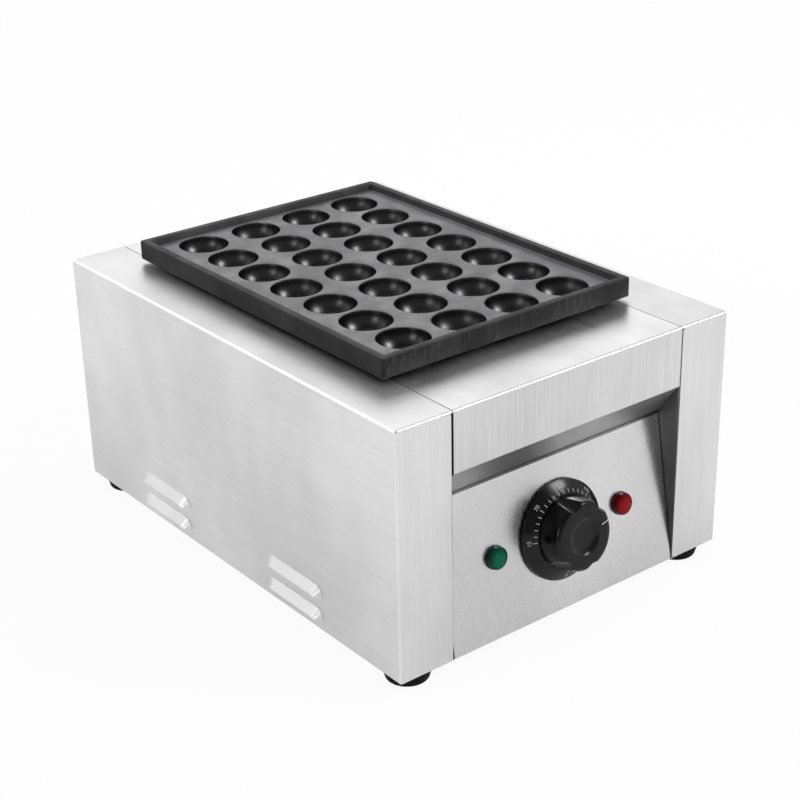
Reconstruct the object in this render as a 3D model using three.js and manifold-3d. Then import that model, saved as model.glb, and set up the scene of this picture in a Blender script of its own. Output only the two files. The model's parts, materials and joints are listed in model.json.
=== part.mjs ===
// Electric takoyaki maker: a folded steel cabinet with a cast iron plate of round cavities on top.
// Millimetres, +Z up. The origin is under the middle of the whole object, on the surface it stands on.
// The front, with the dial and the two lamps, faces -Y.
import * as THREE from 'three';
import { mergeVertices } from 'three/addons/utils/BufferGeometryUtils.js';
import { RoundedBoxGeometry } from 'three/addons/geometries/RoundedBoxGeometry.js';
import Module from 'manifold-3d';

const wasm = await Module();
wasm.setup();

// Cabinet
const bodyWidth = 288;
const bodyDepth = 390;
const bodyHeight = 178;
const sheet = 1.2;
const bendInside = 0.7;
const returnDepth = 27;
const reliefHeight = 1.2;
const seamGap = 0.6;
const seatGap = 0.3;
const rearApron = 22;

// Front: fascia, undercut and sloping control panel
const fasciaHeight = 43;
const panelRecess = 19;
const undercutDrop = 68;
const tongueDepth = 12;
const panelFootDepth = 16;

// Deck opening: how far the plate laps over it, and the strip of deck left beside it
const deckLapAcross = 16;
const deckLapAlong = 8;
const deckOpeningCorner = 10;
const deckStrip = 7.4;

// Cast plate
const plateWidth = 216;
const plateDepth = 292;
const plateSetback = 8.5;
const plateCorner = 2.5;
const plateStandoff = 3;
const plateSkirtThickness = 8;
const rimHeight = 17;
const rimWidth = 6;
const rimSlope = 2;
const plateChamfer = 0.8;
const webTop = 12.5;
const webThickness = 5;
const columnPitch = 46.5;
const rowPitch = 39.5;
const cavityRadius = 18.25;
const cavityDepth = 17;
const cavityLip = 0.6;
const cupWall = 3;
const padRadius = 2.4;
const padMargin = 0.5;
const padPlaceShare = 0.72;

// Side louvres
const louvreLength = 62;
const louvreHeight = 9;
const louvreReach = 4.6;
const louvreCorner = 8;
const louvreTaper = 4;
const louvreSlope = 6.5;
const louvreInset = 114;
const louvreLowHeight = 8;
const louvreRowPitch = 17.5;

// Vents in the rear panel and the base
const ventWidth = 4;
const rearVentLength = 26;
const rearVentPitch = 12;
const rearVentCount = 7;
const rearVentDrop = 60;
const baseVentLength = 60;
const baseVentPitch = 13;
const baseVentCount = 5;
const baseVentOffset = 70;

// Feet and their screws
const footRadius = 17;
const footHeight = 10;
const footTaper = 2;
const footEdge = 2.5;
const footPlaceShare = 0.455;
const footInsetY = 19;
const footWellRadius = 6.5;
const footWellDepth = 5;
const footScrewRadius = 2;
const footScrewHeadRadius = 4;
const footScrewHead = 2.4;
const footNutRadius = 4;
const footNutHeight = 3.2;

// Dial knob, in the panel's own frame: +Z out of the panel
const dialPlaceShare = 0.4805;
const dialRadius = 34.8;
const dialEdge = 2;
const dialStand = 1.2;
const dialHollow = 3.2;
const dialWall = 2.6;
const skirtTop = 9;
const gripBaseRadius = 25.5;
const gripRadius = 23.6;
const gripHeight = 25;
const gripLobes = 6;
const gripScallop = 2.4;
const gripRound = 1.6;
const dishRadius = 13.5;
const dishFloorRadius = 11;
const dishDepth = 2;
const hubRadius = 8;
const lobeTurn = -0.31;
const lobeSteps = 7;

// Thermostat behind the dial
const shaftRadius = 3;
const shaftOut = 17;
const shaftIn = 12;
const bushRadius = 5.5;
const bushOut = 0.8;
const thermostatPlateWidth = 46;
const thermostatPlateHeight = 30;
const thermostatPlate = 1.6;
const thermostatWidth = 40;
const thermostatHeight = 34;
const thermostatDepth = 27;
const thermostatTabWidth = 6.3;
const thermostatTabLength = 9;
const thermostatTabPitch = 10;
const tabThickness = 0.8;
const panelScrewPitch = 32;
const panelScrewRadius = 2;
const panelScrewHeadRadius = 3.6;
const panelScrewHead = 0.7;

// Signal lamps
const lampSpacing = 57;
const lampPlaceShare = 0.485;
const lampRadius = 8.2;
const lampReach = 4.6;
const lampEdge = 1.6;
const lampBodyRadius = 6.4;
const lampBodyLength = 24;
const lampClipRadius = 8.6;
const lampClipThickness = 2;

// Heating elements, their carriers and the tray
const elementRadius = 4;
const elementCupGap = 1;
const elementBackInset = 34;
const elementTail = 20;
const elementSteps = 20;
const pinRadius = 1.6;
const pinLength = 12;
const trayLapAcross = 11;
const trayLapAlong = 4;
const trayHeight = 44;
const trayFlange = 9;
const bracketWidth = 12;
const bracketInset = 47;
const bracketEndInset = 4;
const bracketFoot = 9;
const trayHoleClearance = 0.6;

// Temperature sensor
const bulbRadius = 3;
const bulbLength = 80;
const capillaryRadius = 1;
const capillaryLead = 16;
const capillarySteps = 22;
const capillarySides = 5;
const clipWidth = 8;
const clipThickness = 0.8;
const clipEar = 6;

// Terminal block
const terminalLength = 54;
const terminalDepth = 22;
const terminalHeight = 20;
const terminalPoles = 3;
const terminalSlot = 12;
const terminalSlotDepth = 8;
const terminalPlaceX = 52;
const terminalInset = 75;

// Cable gland in the rear panel
const glandInset = 22;
const glandZ = 34;
const glandRadius = 8;
const glandBore = 5;
const glandHex = 11.5;
const glandHexThickness = 5;
const glandTail = 9;
const glandNeck = 7;
const glandCapRadius = 10.5;
const glandCapLength = 14;
const glandNutThickness = 4.5;

// Case screws in the rear flanges
const caseScrewRadius = 1.8;
const caseScrewHeadRadius = 3.8;
const caseScrewHead = 2.2;
const caseScrewLength = 6;
const caseScrewPlaceShare = 0.727;
const caseScrewLow = 30;
const caseScrewDrop = 38;

// Shared counts and shares
const overrun = 5;
const arcSteps = 3;
const roundSides = 24;
const smallSides = 12;
const cavitySides = 14;
const cavityRings = 4;
const cupSides = 10;
const cupRings = 2;
const tubeSides = 8;
const hexSides = 6;
const slotSteps = 2;
const blockSteps = 2;
const louvreRoundShare = 0.5;
const circleShare = 0.5523;

// Finishes
function finish(color, roughness, metalness) {
  return new THREE.MeshStandardMaterial({ color, roughness, metalness });
}
const steel = () => finish(0xc9c8c6, 0.38, 1);
const castIron = () => finish(0x1c1c1d, 0.5, 0.4);
const blackPlastic = () => finish(0x131314, 0.42, 0);
const rubber = () => finish(0x0e0e0f, 0.85, 0);
const plated = () => finish(0xb4b6b8, 0.35, 1);
const sheathed = () => finish(0x4b4a48, 0.6, 0.9);
const aluminised = () => finish(0xa9abad, 0.5, 1);
const copper = () => finish(0xb87a50, 0.4, 1);
const ceramic = () => finish(0xe6e1d6, 0.7, 0);
const greenLens = () => finish(0x0b6b4a, 0.15, 0);
const redLens = () => finish(0x9c0d18, 0.15, 0);

// Closed meshes to solids and back
function toSolid(geometry) {
  const bare = geometry.clone();
  for (const name of Object.keys(bare.attributes)) {
    if (name !== 'position') bare.deleteAttribute(name);
  }
  const welded = mergeVertices(bare);
  const source = welded.index.array;
  const triangles = [];
  for (let i = 0; i < source.length; i += 3) {
    const [a, b, c] = [source[i], source[i + 1], source[i + 2]];
    if (a !== b && b !== c && c !== a) triangles.push(a, b, c);
  }
  if (enclosedVolume(welded.attributes.position, triangles) < 0) triangles.reverse();
  return new wasm.Manifold(new wasm.Mesh({
    numProp: 3,
    vertProperties: new Float32Array(welded.attributes.position.array),
    triVerts: new Uint32Array(triangles),
  }));
}

function enclosedVolume(position, triangles) {
  const [a, b, c] = [new THREE.Vector3(), new THREE.Vector3(), new THREE.Vector3()];
  let sum = 0;
  for (let i = 0; i < triangles.length; i += 3) {
    a.fromBufferAttribute(position, triangles[i]);
    b.fromBufferAttribute(position, triangles[i + 1]);
    c.fromBufferAttribute(position, triangles[i + 2]);
    sum += a.dot(b.cross(c));
  }
  return sum;
}

function toGeometry(solid) {
  const mesh = solid.getMesh();
  const geometry = new THREE.BufferGeometry();
  geometry.setAttribute('position', new THREE.BufferAttribute(new Float32Array(mesh.vertProperties), 3));
  geometry.setIndex(new THREE.BufferAttribute(new Uint32Array(mesh.triVerts), 1));
  geometry.computeVertexNormals();
  return geometry;
}

const join = (...solids) => solids.reduce((whole, next) => whole.add(next));
const cut = (solid, ...tools) => tools.reduce((rest, tool) => rest.subtract(tool), solid);

// Basic shapes
function boxBetween(low, high) {
  const size = high.map((value, i) => value - low[i]);
  const middle = high.map((value, i) => (value + low[i]) / 2);
  return toSolid(new THREE.BoxGeometry(...size).translate(...middle));
}

function prismZ(shape, low, high) {
  const options = { depth: high - low, bevelEnabled: false, curveSegments: arcSteps };
  return toSolid(new THREE.ExtrudeGeometry(shape, options).translate(0, 0, low));
}

function cylinderZ(radius, low, high, sides = smallSides) {
  return turned([[0, low], [radius, low], [radius, high], [0, high]], sides);
}

function turned(profile, sides = roundSides) {
  const points = profile.map(([radius, height]) => new THREE.Vector2(radius, height));
  return toSolid(new THREE.LatheGeometry(points, sides).rotateX(Math.PI / 2));
}

function moved(solid, matrix) {
  return toSolid(toGeometry(solid).applyMatrix4(matrix));
}

const shift = (x, y, z) => new THREE.Matrix4().makeTranslation(x, y, z);
const mirrorX = new THREE.Matrix4().makeScale(-1, 1, 1);
const facingBack = new THREE.Matrix4().makeRotationX(-Math.PI / 2);
const facingFront = new THREE.Matrix4().makeRotationX(Math.PI / 2);

function roundedRectangle(width, depth, corner, steps = arcSteps) {
  const points = [];
  const places = [[1, 1, 0], [-1, 1, 1], [-1, -1, 2], [1, -1, 3]];
  for (const [sideX, sideY, quarter] of places) {
    for (let i = 0; i <= steps; i += 1) {
      const angle = (quarter + i / steps) * Math.PI / 2;
      points.push(new THREE.Vector2(
        sideX * (width / 2 - corner) + corner * Math.cos(angle),
        sideY * (depth / 2 - corner) + corner * Math.sin(angle),
      ));
    }
  }
  return points;
}

// A solid through level outlines that have the same number of points
function loft(sections) {
  const count = sections[0].points.length;
  const vertices = sections.flatMap(({ points, z }) => points.flatMap((point) => [point.x, point.y, z]));
  const indices = [];
  for (let level = 0; level < sections.length - 1; level += 1) {
    for (let i = 0; i < count; i += 1) {
      const next = (i + 1) % count;
      const [a, b] = [level * count + i, level * count + next];
      indices.push(a, b, b + count, a, b + count, a + count);
    }
  }
  const top = (sections.length - 1) * count;
  for (const [a, b, c] of THREE.ShapeUtils.triangulateShape(sections[0].points, [])) indices.push(a, c, b);
  for (const [a, b, c] of THREE.ShapeUtils.triangulateShape(sections[sections.length - 1].points, [])) {
    indices.push(top + a, top + b, top + c);
  }
  const geometry = new THREE.BufferGeometry();
  geometry.setAttribute('position', new THREE.Float32BufferAttribute(vertices, 3));
  geometry.setIndex(indices);
  return toSolid(geometry);
}

// A folded sheet, given as the line of its visible face. The metal lies to the left of that line.
function foldedOutline(line) {
  const points = line.map(([x, y]) => new THREE.Vector2(x, y));
  const visible = [];
  const hidden = [];
  const left = (direction) => new THREE.Vector2(-direction.y, direction.x);
  points.forEach((point, i) => {
    const before = i > 0 ? point.clone().sub(points[i - 1]).normalize() : null;
    const after = i < points.length - 1 ? points[i + 1].clone().sub(point).normalize() : null;
    if (!before || !after) {
      visible.push(point.clone());
      hidden.push(point.clone().addScaledVector(left(before ?? after), sheet));
      return;
    }
    const turn = Math.atan2(before.cross(after), before.dot(after));
    const outer = turn > 0 ? bendInside + sheet : bendInside;
    const inner = turn > 0 ? bendInside : bendInside + sheet;
    const side = Math.sign(turn);
    const start = point.clone().addScaledVector(before, -outer * Math.tan(Math.abs(turn) / 2));
    const centre = start.clone().addScaledVector(left(before), side * outer);
    for (let step = 0; step <= arcSteps; step += 1) {
      const spoke = start.clone().sub(centre).normalize();
      spoke.rotateAround(new THREE.Vector2(), turn * step / arcSteps);
      visible.push(centre.clone().addScaledVector(spoke, outer));
      hidden.push(centre.clone().addScaledVector(spoke, inner));
    }
  });
  return new THREE.Shape([...visible, ...hidden.reverse()]);
}

// A folded sheet whose line is drawn in Y and Z and that runs along X
function foldedAcross(line, width) {
  const geometry = new THREE.ExtrudeGeometry(foldedOutline(line), { depth: width, bevelEnabled: false });
  const axes = [new THREE.Vector3(0, 1, 0), new THREE.Vector3(0, 0, 1), new THREE.Vector3(1, 0, 0)];
  geometry.translate(0, 0, -width / 2).applyMatrix4(new THREE.Matrix4().makeBasis(...axes));
  return toSolid(geometry);
}

// A slot with round ends along Y or X, cut through in Z
function slotZ(length, width, low, high) {
  return prismZ(new THREE.Shape(roundedRectangle(width, length, width / 2, slotSteps)), low, high);
}

function roundedBlock(width, depth, height, radius) {
  return toSolid(new RoundedBoxGeometry(width, depth, height, blockSteps, radius));
}

// A round rod or wire along a line
function rodAlong(curve, radius, steps, sides = tubeSides) {
  const section = [];
  for (let i = 0; i < sides; i += 1) {
    const angle = i * 2 * Math.PI / sides;
    section.push(new THREE.Vector2(radius * Math.cos(angle), radius * Math.sin(angle)));
  }
  const options = { steps, extrudePath: curve, bevelEnabled: false };
  return toSolid(new THREE.ExtrudeGeometry(new THREE.Shape(section), options));
}

// Places in the cabinet frame: X and Y from its middle, Z from its lower edge
const deckTop = bodyHeight;
const frontY = -bodyDepth / 2;
const rearY = bodyDepth / 2;
const sideX = bodyWidth / 2;
const bendOutside = bendInside + sheet;
const deckOpeningWidth = plateWidth - 2 * deckLapAcross;
const deckOpeningDepth = plateDepth - 2 * deckLapAlong;
const innerWidth = deckOpeningWidth + 2 * deckStrip;
const flangeWidth = (bodyWidth - innerWidth) / 2 - seamGap;
const panelTopZ = bodyHeight - undercutDrop - seatGap;
const panelTopY = frontY + panelRecess;
const panelLean = Math.atan2(panelRecess, panelTopZ);
const dialDrop = Math.hypot(panelRecess, panelTopZ) * dialPlaceShare;
const lampDrop = Math.hypot(panelRecess, panelTopZ) * lampPlaceShare;
const baseTop = 2 * sheet + seatGap;
const webUnder = deckTop + webTop - webThickness;
const cupBottom = deckTop + webTop - cavityDepth - cupWall;
const elementZ = cupBottom - elementCupGap - elementRadius;
const bracketTop = elementZ - elementRadius - seatGap;
const trayWidth = deckOpeningWidth + 2 * trayLapAcross;
const trayDepth = deckOpeningDepth + 2 * trayLapAlong;
const trayTop = deckTop - sheet - seatGap;
const trayFloor = trayTop - trayHeight;
const plateBottom = deckTop + plateStandoff;
const rearPanelY = rearY - sheet - seatGap;
const glandX = sideX - flangeWidth - glandInset;
const rearVentHeight = deckTop - rearVentDrop;
const caseScrewHigh = deckTop - caseScrewDrop;
const caseScrewX = sideX - flangeWidth * caseScrewPlaceShare;
const footX = sideX - flangeWidth * footPlaceShare;

// As many cups as the opening takes, by their width where they pass through the deck
const cupAtDeckShare = Math.sqrt(1 - (webTop / (cavityDepth + cupWall)) ** 2);
const cupAtDeck = 2 * (cavityRadius + cupWall) * cupAtDeckShare;
const columnCount = Math.floor((deckOpeningWidth - cupAtDeck) / columnPitch) + 1;
const rowCount = Math.floor((deckOpeningDepth - cupAtDeck) / rowPitch) + 1;
const columnX = (i) => (i - (columnCount - 1) / 2) * columnPitch;
const rowY = (j) => (j - (rowCount - 1) / 2) * rowPitch;

// The frame of the control panel: +Z out of its face, +Y up along it, origin at its top edge
const panelPlace = new THREE.Matrix4()
  .makeRotationX(Math.PI / 2 - panelLean)
  .setPosition(0, panelTopY, panelTopZ);

// Side casing: side, top strip, base strip, front and rear flange, and the front flange's return
function louvre(part) {
  const grow = part === 'hollow' ? -sheet : 0;
  const levels = part === 'hollow'
    ? [[-overrun, 0], [louvreReach / 2 - sheet, 1 / 4], [louvreReach - sheet, 1]]
    : [[-sheet / 2, 0], [louvreReach / 2, 1 / 4], [louvreReach, 1]];
  const sections = levels.map(([z, share]) => {
    const halfLength = louvreLength / 2 + grow - share * louvreTaper;
    const high = louvreHeight + grow - share * louvreSlope;
    const corner = Math.min(louvreCorner, high) * louvreRoundShare;
    const points = [new THREE.Vector2(-halfLength, 0), new THREE.Vector2(halfLength, 0)];
    for (const [side, first] of [[1, 0], [-1, 1]]) {
      for (let i = 0; i <= arcSteps; i += 1) {
        const angle = (first + i / arcSteps) * Math.PI / 2;
        const x = side * (halfLength - corner) + corner * Math.cos(angle);
        points.push(new THREE.Vector2(x, high - corner + corner * Math.sin(angle)));
      }
    }
    return { points, z };
  });
  return loft(sections);
}

// Louvre frame to the right side of the cabinet: reach along +X, length along Y, height along Z
function onRightSide(y, z) {
  const axes = [new THREE.Vector3(0, 1, 0), new THREE.Vector3(0, 0, 1), new THREE.Vector3(1, 0, 0)];
  return new THREE.Matrix4().makeBasis(...axes).setPosition(sideX, y, z);
}

function rightCasing() {
  const outside = roundedBlock(bodyWidth, bodyDepth, bodyHeight, bendOutside);
  const hollow = [bodyWidth, bodyDepth, bodyHeight].map((size) => size - 2 * sheet);
  const inside = roundedBlock(...hollow, bendInside);
  const shell = moved(cut(outside, inside), shift(0, 0, bodyHeight / 2));
  const flangeEdge = sideX - flangeWidth;
  const side = shell.intersect(boxBetween(
    [flangeEdge, frontY - overrun, -overrun],
    [sideX + overrun, rearY + overrun, bodyHeight + overrun],
  ));
  const foldLow = bendOutside + reliefHeight;
  const foldHigh = bodyHeight - bendOutside - reliefHeight;
  const relief = boxBetween(
    [flangeEdge - overrun, frontY - overrun, bendOutside],
    [flangeEdge + bendOutside, frontY + bendOutside, bodyHeight - bendOutside],
  );
  const fold = foldedOutline([
    [flangeEdge, frontY + returnDepth],
    [flangeEdge, frontY],
    [flangeEdge + 2 * bendOutside, frontY],
  ]);
  let casing = join(cut(side, relief), prismZ(fold, foldLow, foldHigh));
  for (const y of [frontY + louvreInset, rearY - louvreInset]) {
    for (const level of [0, 1]) {
      const place = onRightSide(y, louvreLowHeight + level * louvreRowPitch);
      casing = cut(join(casing, moved(louvre('skin'), place)), moved(louvre('hollow'), place));
    }
  }
  for (const y of [frontY + footInsetY, rearY - footInsetY]) {
    const hole = cylinderZ(footScrewRadius + seatGap, -overrun, overrun);
    casing = cut(casing, moved(hole, shift(footX, y, 0)));
  }
  for (const z of [caseScrewLow, caseScrewHigh]) {
    const hole = cylinderZ(caseScrewRadius + seatGap, -overrun, overrun);
    casing = cut(casing, moved(moved(hole, facingBack), shift(caseScrewX, rearY, z)));
  }
  return casing;
}

// Deck: one sheet folded into rear apron, deck, fascia, undercut and tongue
function deckShell() {
  const sheetLine = [
    [rearY, deckTop - rearApron],
    [rearY, deckTop],
    [frontY, deckTop],
    [frontY, deckTop - fasciaHeight],
    [panelTopY, deckTop - undercutDrop],
    [panelTopY + tongueDepth, deckTop - undercutDrop],
  ];
  const opening = prismZ(
    new THREE.Shape(roundedRectangle(deckOpeningWidth, deckOpeningDepth, deckOpeningCorner)),
    deckTop - sheet - overrun,
    deckTop + overrun,
  );
  return cut(foldedAcross(sheetLine, innerWidth), moved(opening, shift(0, plateSetback, 0)));
}

// Control panel: tongue, sloping face and foot flange, with holes for the thermostat and the lamps
function controlPanel() {
  const sheetLine = [
    [panelTopY + tongueDepth, panelTopZ],
    [panelTopY, panelTopZ],
    [frontY, 0],
    [frontY + panelFootDepth, 0],
  ];
  const throughPanel = (radius, x, y) => moved(
    cylinderZ(radius, -overrun, overrun),
    panelPlace.clone().multiply(shift(x, y, 0)),
  );
  return cut(
    foldedAcross(sheetLine, innerWidth),
    throughPanel(bushRadius + seatGap, 0, -dialDrop),
    throughPanel(panelScrewRadius + seatGap, -panelScrewPitch / 2, -dialDrop),
    throughPanel(panelScrewRadius + seatGap, panelScrewPitch / 2, -dialDrop),
    throughPanel(lampBodyRadius + seatGap, -lampSpacing, -lampDrop),
    throughPanel(lampBodyRadius + seatGap, lampSpacing, -lampDrop),
  );
}

function rearPanel() {
  const halfWidth = sideX - sheet - bendInside - seatGap;
  let panel = boxBetween(
    [-halfWidth, rearPanelY - sheet, baseTop + seatGap],
    [halfWidth, rearPanelY, deckTop - bendOutside],
  );
  for (let i = 0; i < rearVentCount; i += 1) {
    const vent = slotZ(rearVentLength, ventWidth, -overrun, overrun);
    const x = (i - (rearVentCount - 1) / 2) * rearVentPitch;
    panel = cut(panel, moved(moved(vent, facingBack), shift(x, rearPanelY, rearVentHeight)));
  }
  const glandHole = cylinderZ(glandRadius + seatGap, -overrun, overrun, roundSides);
  panel = cut(panel, moved(moved(glandHole, facingBack), shift(glandX, rearPanelY, glandZ)));
  for (const side of [-1, 1]) {
    for (const z of [caseScrewLow, caseScrewHigh]) {
      const hole = cylinderZ(caseScrewRadius + seatGap, -overrun, overrun);
      panel = cut(panel, moved(moved(hole, facingBack), shift(side * caseScrewX, rearPanelY, z)));
    }
  }
  return panel;
}

function basePlate() {
  const halfWidth = sideX - sheet - bendInside - seatGap;
  let base = boxBetween(
    [-halfWidth, frontY + 2 * bendOutside, sheet + seatGap],
    [halfWidth, rearPanelY - bendInside, baseTop],
  );
  for (const side of [-1, 1]) {
    for (let i = 0; i < baseVentCount; i += 1) {
      const x = (i - (baseVentCount - 1) / 2) * baseVentPitch;
      const vent = slotZ(baseVentLength, ventWidth, -overrun, overrun + baseTop);
      base = cut(base, moved(vent, shift(x, side * baseVentOffset, 0)));
    }
    for (const y of [frontY + footInsetY, rearY - footInsetY]) {
      const hole = cylinderZ(footScrewRadius + seatGap, -overrun, overrun + baseTop);
      base = cut(base, moved(hole, shift(side * footX, y, 0)));
    }
  }
  return base;
}

// Rubber foot with a well under it for the screw head; its top is at zero
function foot() {
  const holeRadius = footScrewRadius + seatGap;
  const soleRadius = footRadius - footTaper;
  return turned([
    [holeRadius, -footHeight + footWellDepth],
    [footWellRadius, -footHeight + footWellDepth],
    [footWellRadius, -footHeight],
    [soleRadius - footEdge, -footHeight],
    [soleRadius - footEdge * (1 - Math.SQRT1_2), -footHeight + footEdge * (1 - Math.SQRT1_2)],
    [soleRadius, -footHeight + footEdge],
    [footRadius, -seatGap],
    [holeRadius, -seatGap],
    [holeRadius, -footHeight + footWellDepth],
  ], smallSides);
}

// Foot screw with its nut on the base plate
function footScrew() {
  const headTop = -footHeight + footWellDepth - seatGap;
  const nutLow = baseTop + seatGap;
  const nutTop = nutLow + footNutHeight;
  return join(
    cylinderZ(footScrewHeadRadius, headTop - footScrewHead, headTop),
    cylinderZ(footScrewRadius, headTop - footScrewHead / 2, nutTop + footScrewRadius, tubeSides),
    cylinderZ(footNutRadius, nutLow, nutTop, hexSides),
  );
}

// Cast plate: a skirted tray with a raised rim, and cups that are cavities above and bulges below
function takoyakiPlate() {
  const outline = (inset) => roundedRectangle(
    plateWidth - 2 * inset,
    plateDepth - 2 * inset,
    Math.max(plateCorner - inset, plateCorner / 4),
  );
  const rimTop = deckTop + rimHeight;
  const floor = deckTop + webTop;
  const block = loft([
    { points: outline(plateChamfer), z: plateBottom },
    { points: outline(0), z: plateBottom + plateChamfer },
    { points: outline(0), z: rimTop - plateChamfer },
    { points: outline(plateChamfer), z: rimTop },
  ]);
  const basin = loft([
    { points: outline(rimWidth + rimSlope), z: floor },
    { points: outline(rimWidth), z: rimTop },
    { points: outline(rimWidth), z: rimTop + overrun },
  ]);
  const underside = loft([
    { points: outline(plateSkirtThickness), z: plateBottom - overrun },
    { points: outline(plateSkirtThickness), z: webUnder },
  ]);
  let plate = cut(block, underside);
  for (const [x, y] of cavityPlaces()) {
    plate = join(plate, moved(cup(), shift(x, y, floor)));
  }
  plate = cut(plate, basin);
  for (const [x, y] of cavityPlaces()) {
    plate = cut(plate, moved(cavity(), shift(x, y, floor)));
  }
  const padX = plateWidth / 2 - plateSkirtThickness + padRadius + padMargin;
  for (const x of [-padX, padX]) {
    for (const y of [-padPlaceShare, padPlaceShare]) {
      const pad = cylinderZ(padRadius, deckTop + seatGap, plateBottom + plateChamfer);
      plate = join(plate, moved(pad, shift(x, y * plateDepth / 2, 0)));
    }
  }
  return moved(plate, shift(0, plateSetback, 0));
}

function cavityPlaces() {
  const places = [];
  for (let i = 0; i < columnCount; i += 1) {
    for (let j = 0; j < rowCount; j += 1) {
      places.push([columnX(i), rowY(j)]);
    }
  }
  return places;
}

// The bowl of one cavity, with its lip broken; its rim is at zero
function cavity() {
  const profile = [];
  for (let i = 0; i <= cavityRings; i += 1) {
    const angle = i / cavityRings * Math.PI / 2;
    profile.push([cavityRadius * Math.sin(angle), -cavityLip - (cavityDepth - cavityLip) * Math.cos(angle)]);
  }
  profile.push([cavityRadius + cavityLip, 0], [cavityRadius + cavityLip, overrun], [0, overrun]);
  return turned(profile, cavitySides);
}

// The outside of one cup under the web
function cup() {
  const profile = [];
  for (let i = 0; i <= cupRings; i += 1) {
    const angle = i / cupRings * Math.PI / 2;
    profile.push([(cavityRadius + cupWall) * Math.sin(angle), -(cavityDepth + cupWall) * Math.cos(angle)]);
  }
  profile.push([0, 0]);
  return turned(profile, cupSides);
}

// Dial knob: a conical skirt with a hollow back and a lobed grip with a dished face
function dialKnob() {
  const skirt = turned([
    [dialRadius - dialWall, dialStand],
    [dialRadius, dialStand],
    [dialRadius, dialStand + dialEdge],
    [gripBaseRadius, skirtTop],
    [0, skirtTop],
    [0, dialStand + dialHollow],
    [dialRadius - dialWall, dialStand + dialHollow],
    [dialRadius - dialWall, dialStand],
  ], roundSides + tubeSides);
  const outline = (radius, scallop) => {
    const points = [];
    const count = gripLobes * lobeSteps;
    for (let i = 0; i < count; i += 1) {
      const angle = i * 2 * Math.PI / count;
      const wave = (1 - Math.cos(gripLobes * (angle - lobeTurn))) / 2;
      const reach = radius - scallop * (1 - wave) ** 2;
      points.push(new THREE.Vector2(reach * Math.cos(angle), reach * Math.sin(angle)));
    }
    return points;
  };
  const grip = loft([
    { points: outline(gripBaseRadius, gripScallop / 4), z: skirtTop - dialEdge },
    { points: outline(gripRadius, gripScallop), z: gripHeight - gripRound },
    { points: outline(gripRadius - gripRound / 2, gripScallop), z: gripHeight - gripRound / 3 },
    { points: outline(gripRadius - gripRound, gripScallop), z: gripHeight },
  ]);
  const dish = turned([
    [0, gripHeight - dishDepth],
    [dishFloorRadius, gripHeight - dishDepth],
    [dishRadius, gripHeight],
    [dishRadius, gripHeight + overrun],
    [0, gripHeight + overrun],
  ]);
  const hub = cylinderZ(hubRadius, dialStand + seatGap, skirtTop - dialEdge / 2);
  const bore = cylinderZ(shaftRadius + seatGap, -overrun, shaftOut + seatGap);
  return cut(join(skirt, grip, hub), dish, bore);
}

// Thermostat: mounting plate, bush and ceramic body with its terminals, in the panel's frame
function thermostatBody() {
  const back = -sheet - seatGap;
  const plateBack = back - thermostatPlate;
  const blockBack = plateBack - thermostatDepth;
  const [halfWidth, halfHeight] = [thermostatPlateWidth / 2, thermostatPlateHeight / 2];
  let body = join(
    boxBetween(
      [-thermostatWidth / 2, -thermostatHeight / 2, blockBack],
      [thermostatWidth / 2, thermostatHeight / 2, plateBack],
    ),
    boxBetween([-halfWidth, -halfHeight, plateBack], [halfWidth, halfHeight, back]),
    cylinderZ(bushRadius, plateBack, bushOut),
  );
  for (const side of [-1, 1]) {
    const x = side * thermostatTabPitch;
    body = join(body, boxBetween(
      [x - thermostatTabWidth / 2, -tabThickness / 2, blockBack - thermostatTabLength],
      [x + thermostatTabWidth / 2, tabThickness / 2, plateBack - thermostatDepth / 2],
    ));
    const hole = cylinderZ(panelScrewRadius + seatGap, plateBack - overrun, overrun);
    body = cut(body, moved(hole, shift(side * panelScrewPitch / 2, 0, 0)));
  }
  return cut(body, cylinderZ(shaftRadius + seatGap, -shaftIn - seatGap, overrun));
}

function panelScrew() {
  const back = -sheet - seatGap - thermostatPlate;
  return join(
    cylinderZ(panelScrewHeadRadius, seatGap, seatGap + panelScrewHead),
    cylinderZ(panelScrewRadius, back - overrun / 2, seatGap + panelScrewHead / 2),
  );
}

// Signal lamp lens: a low dome with a rounded edge, in the panel's frame
function lampLens() {
  return turned([
    [0, seatGap],
    [lampRadius, seatGap],
    [lampRadius, lampEdge],
    [lampRadius - lampEdge / 2, lampReach - lampEdge / 2],
    [lampRadius / 2, lampReach],
    [0, lampReach + lampEdge / 4],
  ], roundSides);
}

function lampBody() {
  const clipTop = -sheet - seatGap;
  let body = join(
    cylinderZ(lampBodyRadius, -lampBodyLength, 0),
    cylinderZ(lampClipRadius, clipTop - lampClipThickness, clipTop, hexSides),
  );
  for (const side of [-1, 1]) {
    const x = side * lampBodyRadius / 2;
    body = join(body, boxBetween(
      [x - tabThickness / 2, -tabThickness * 2, -lampBodyLength - thermostatTabLength],
      [x + tabThickness / 2, tabThickness * 2, -lampBodyLength + tabThickness],
    ));
  }
  return body;
}

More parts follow.
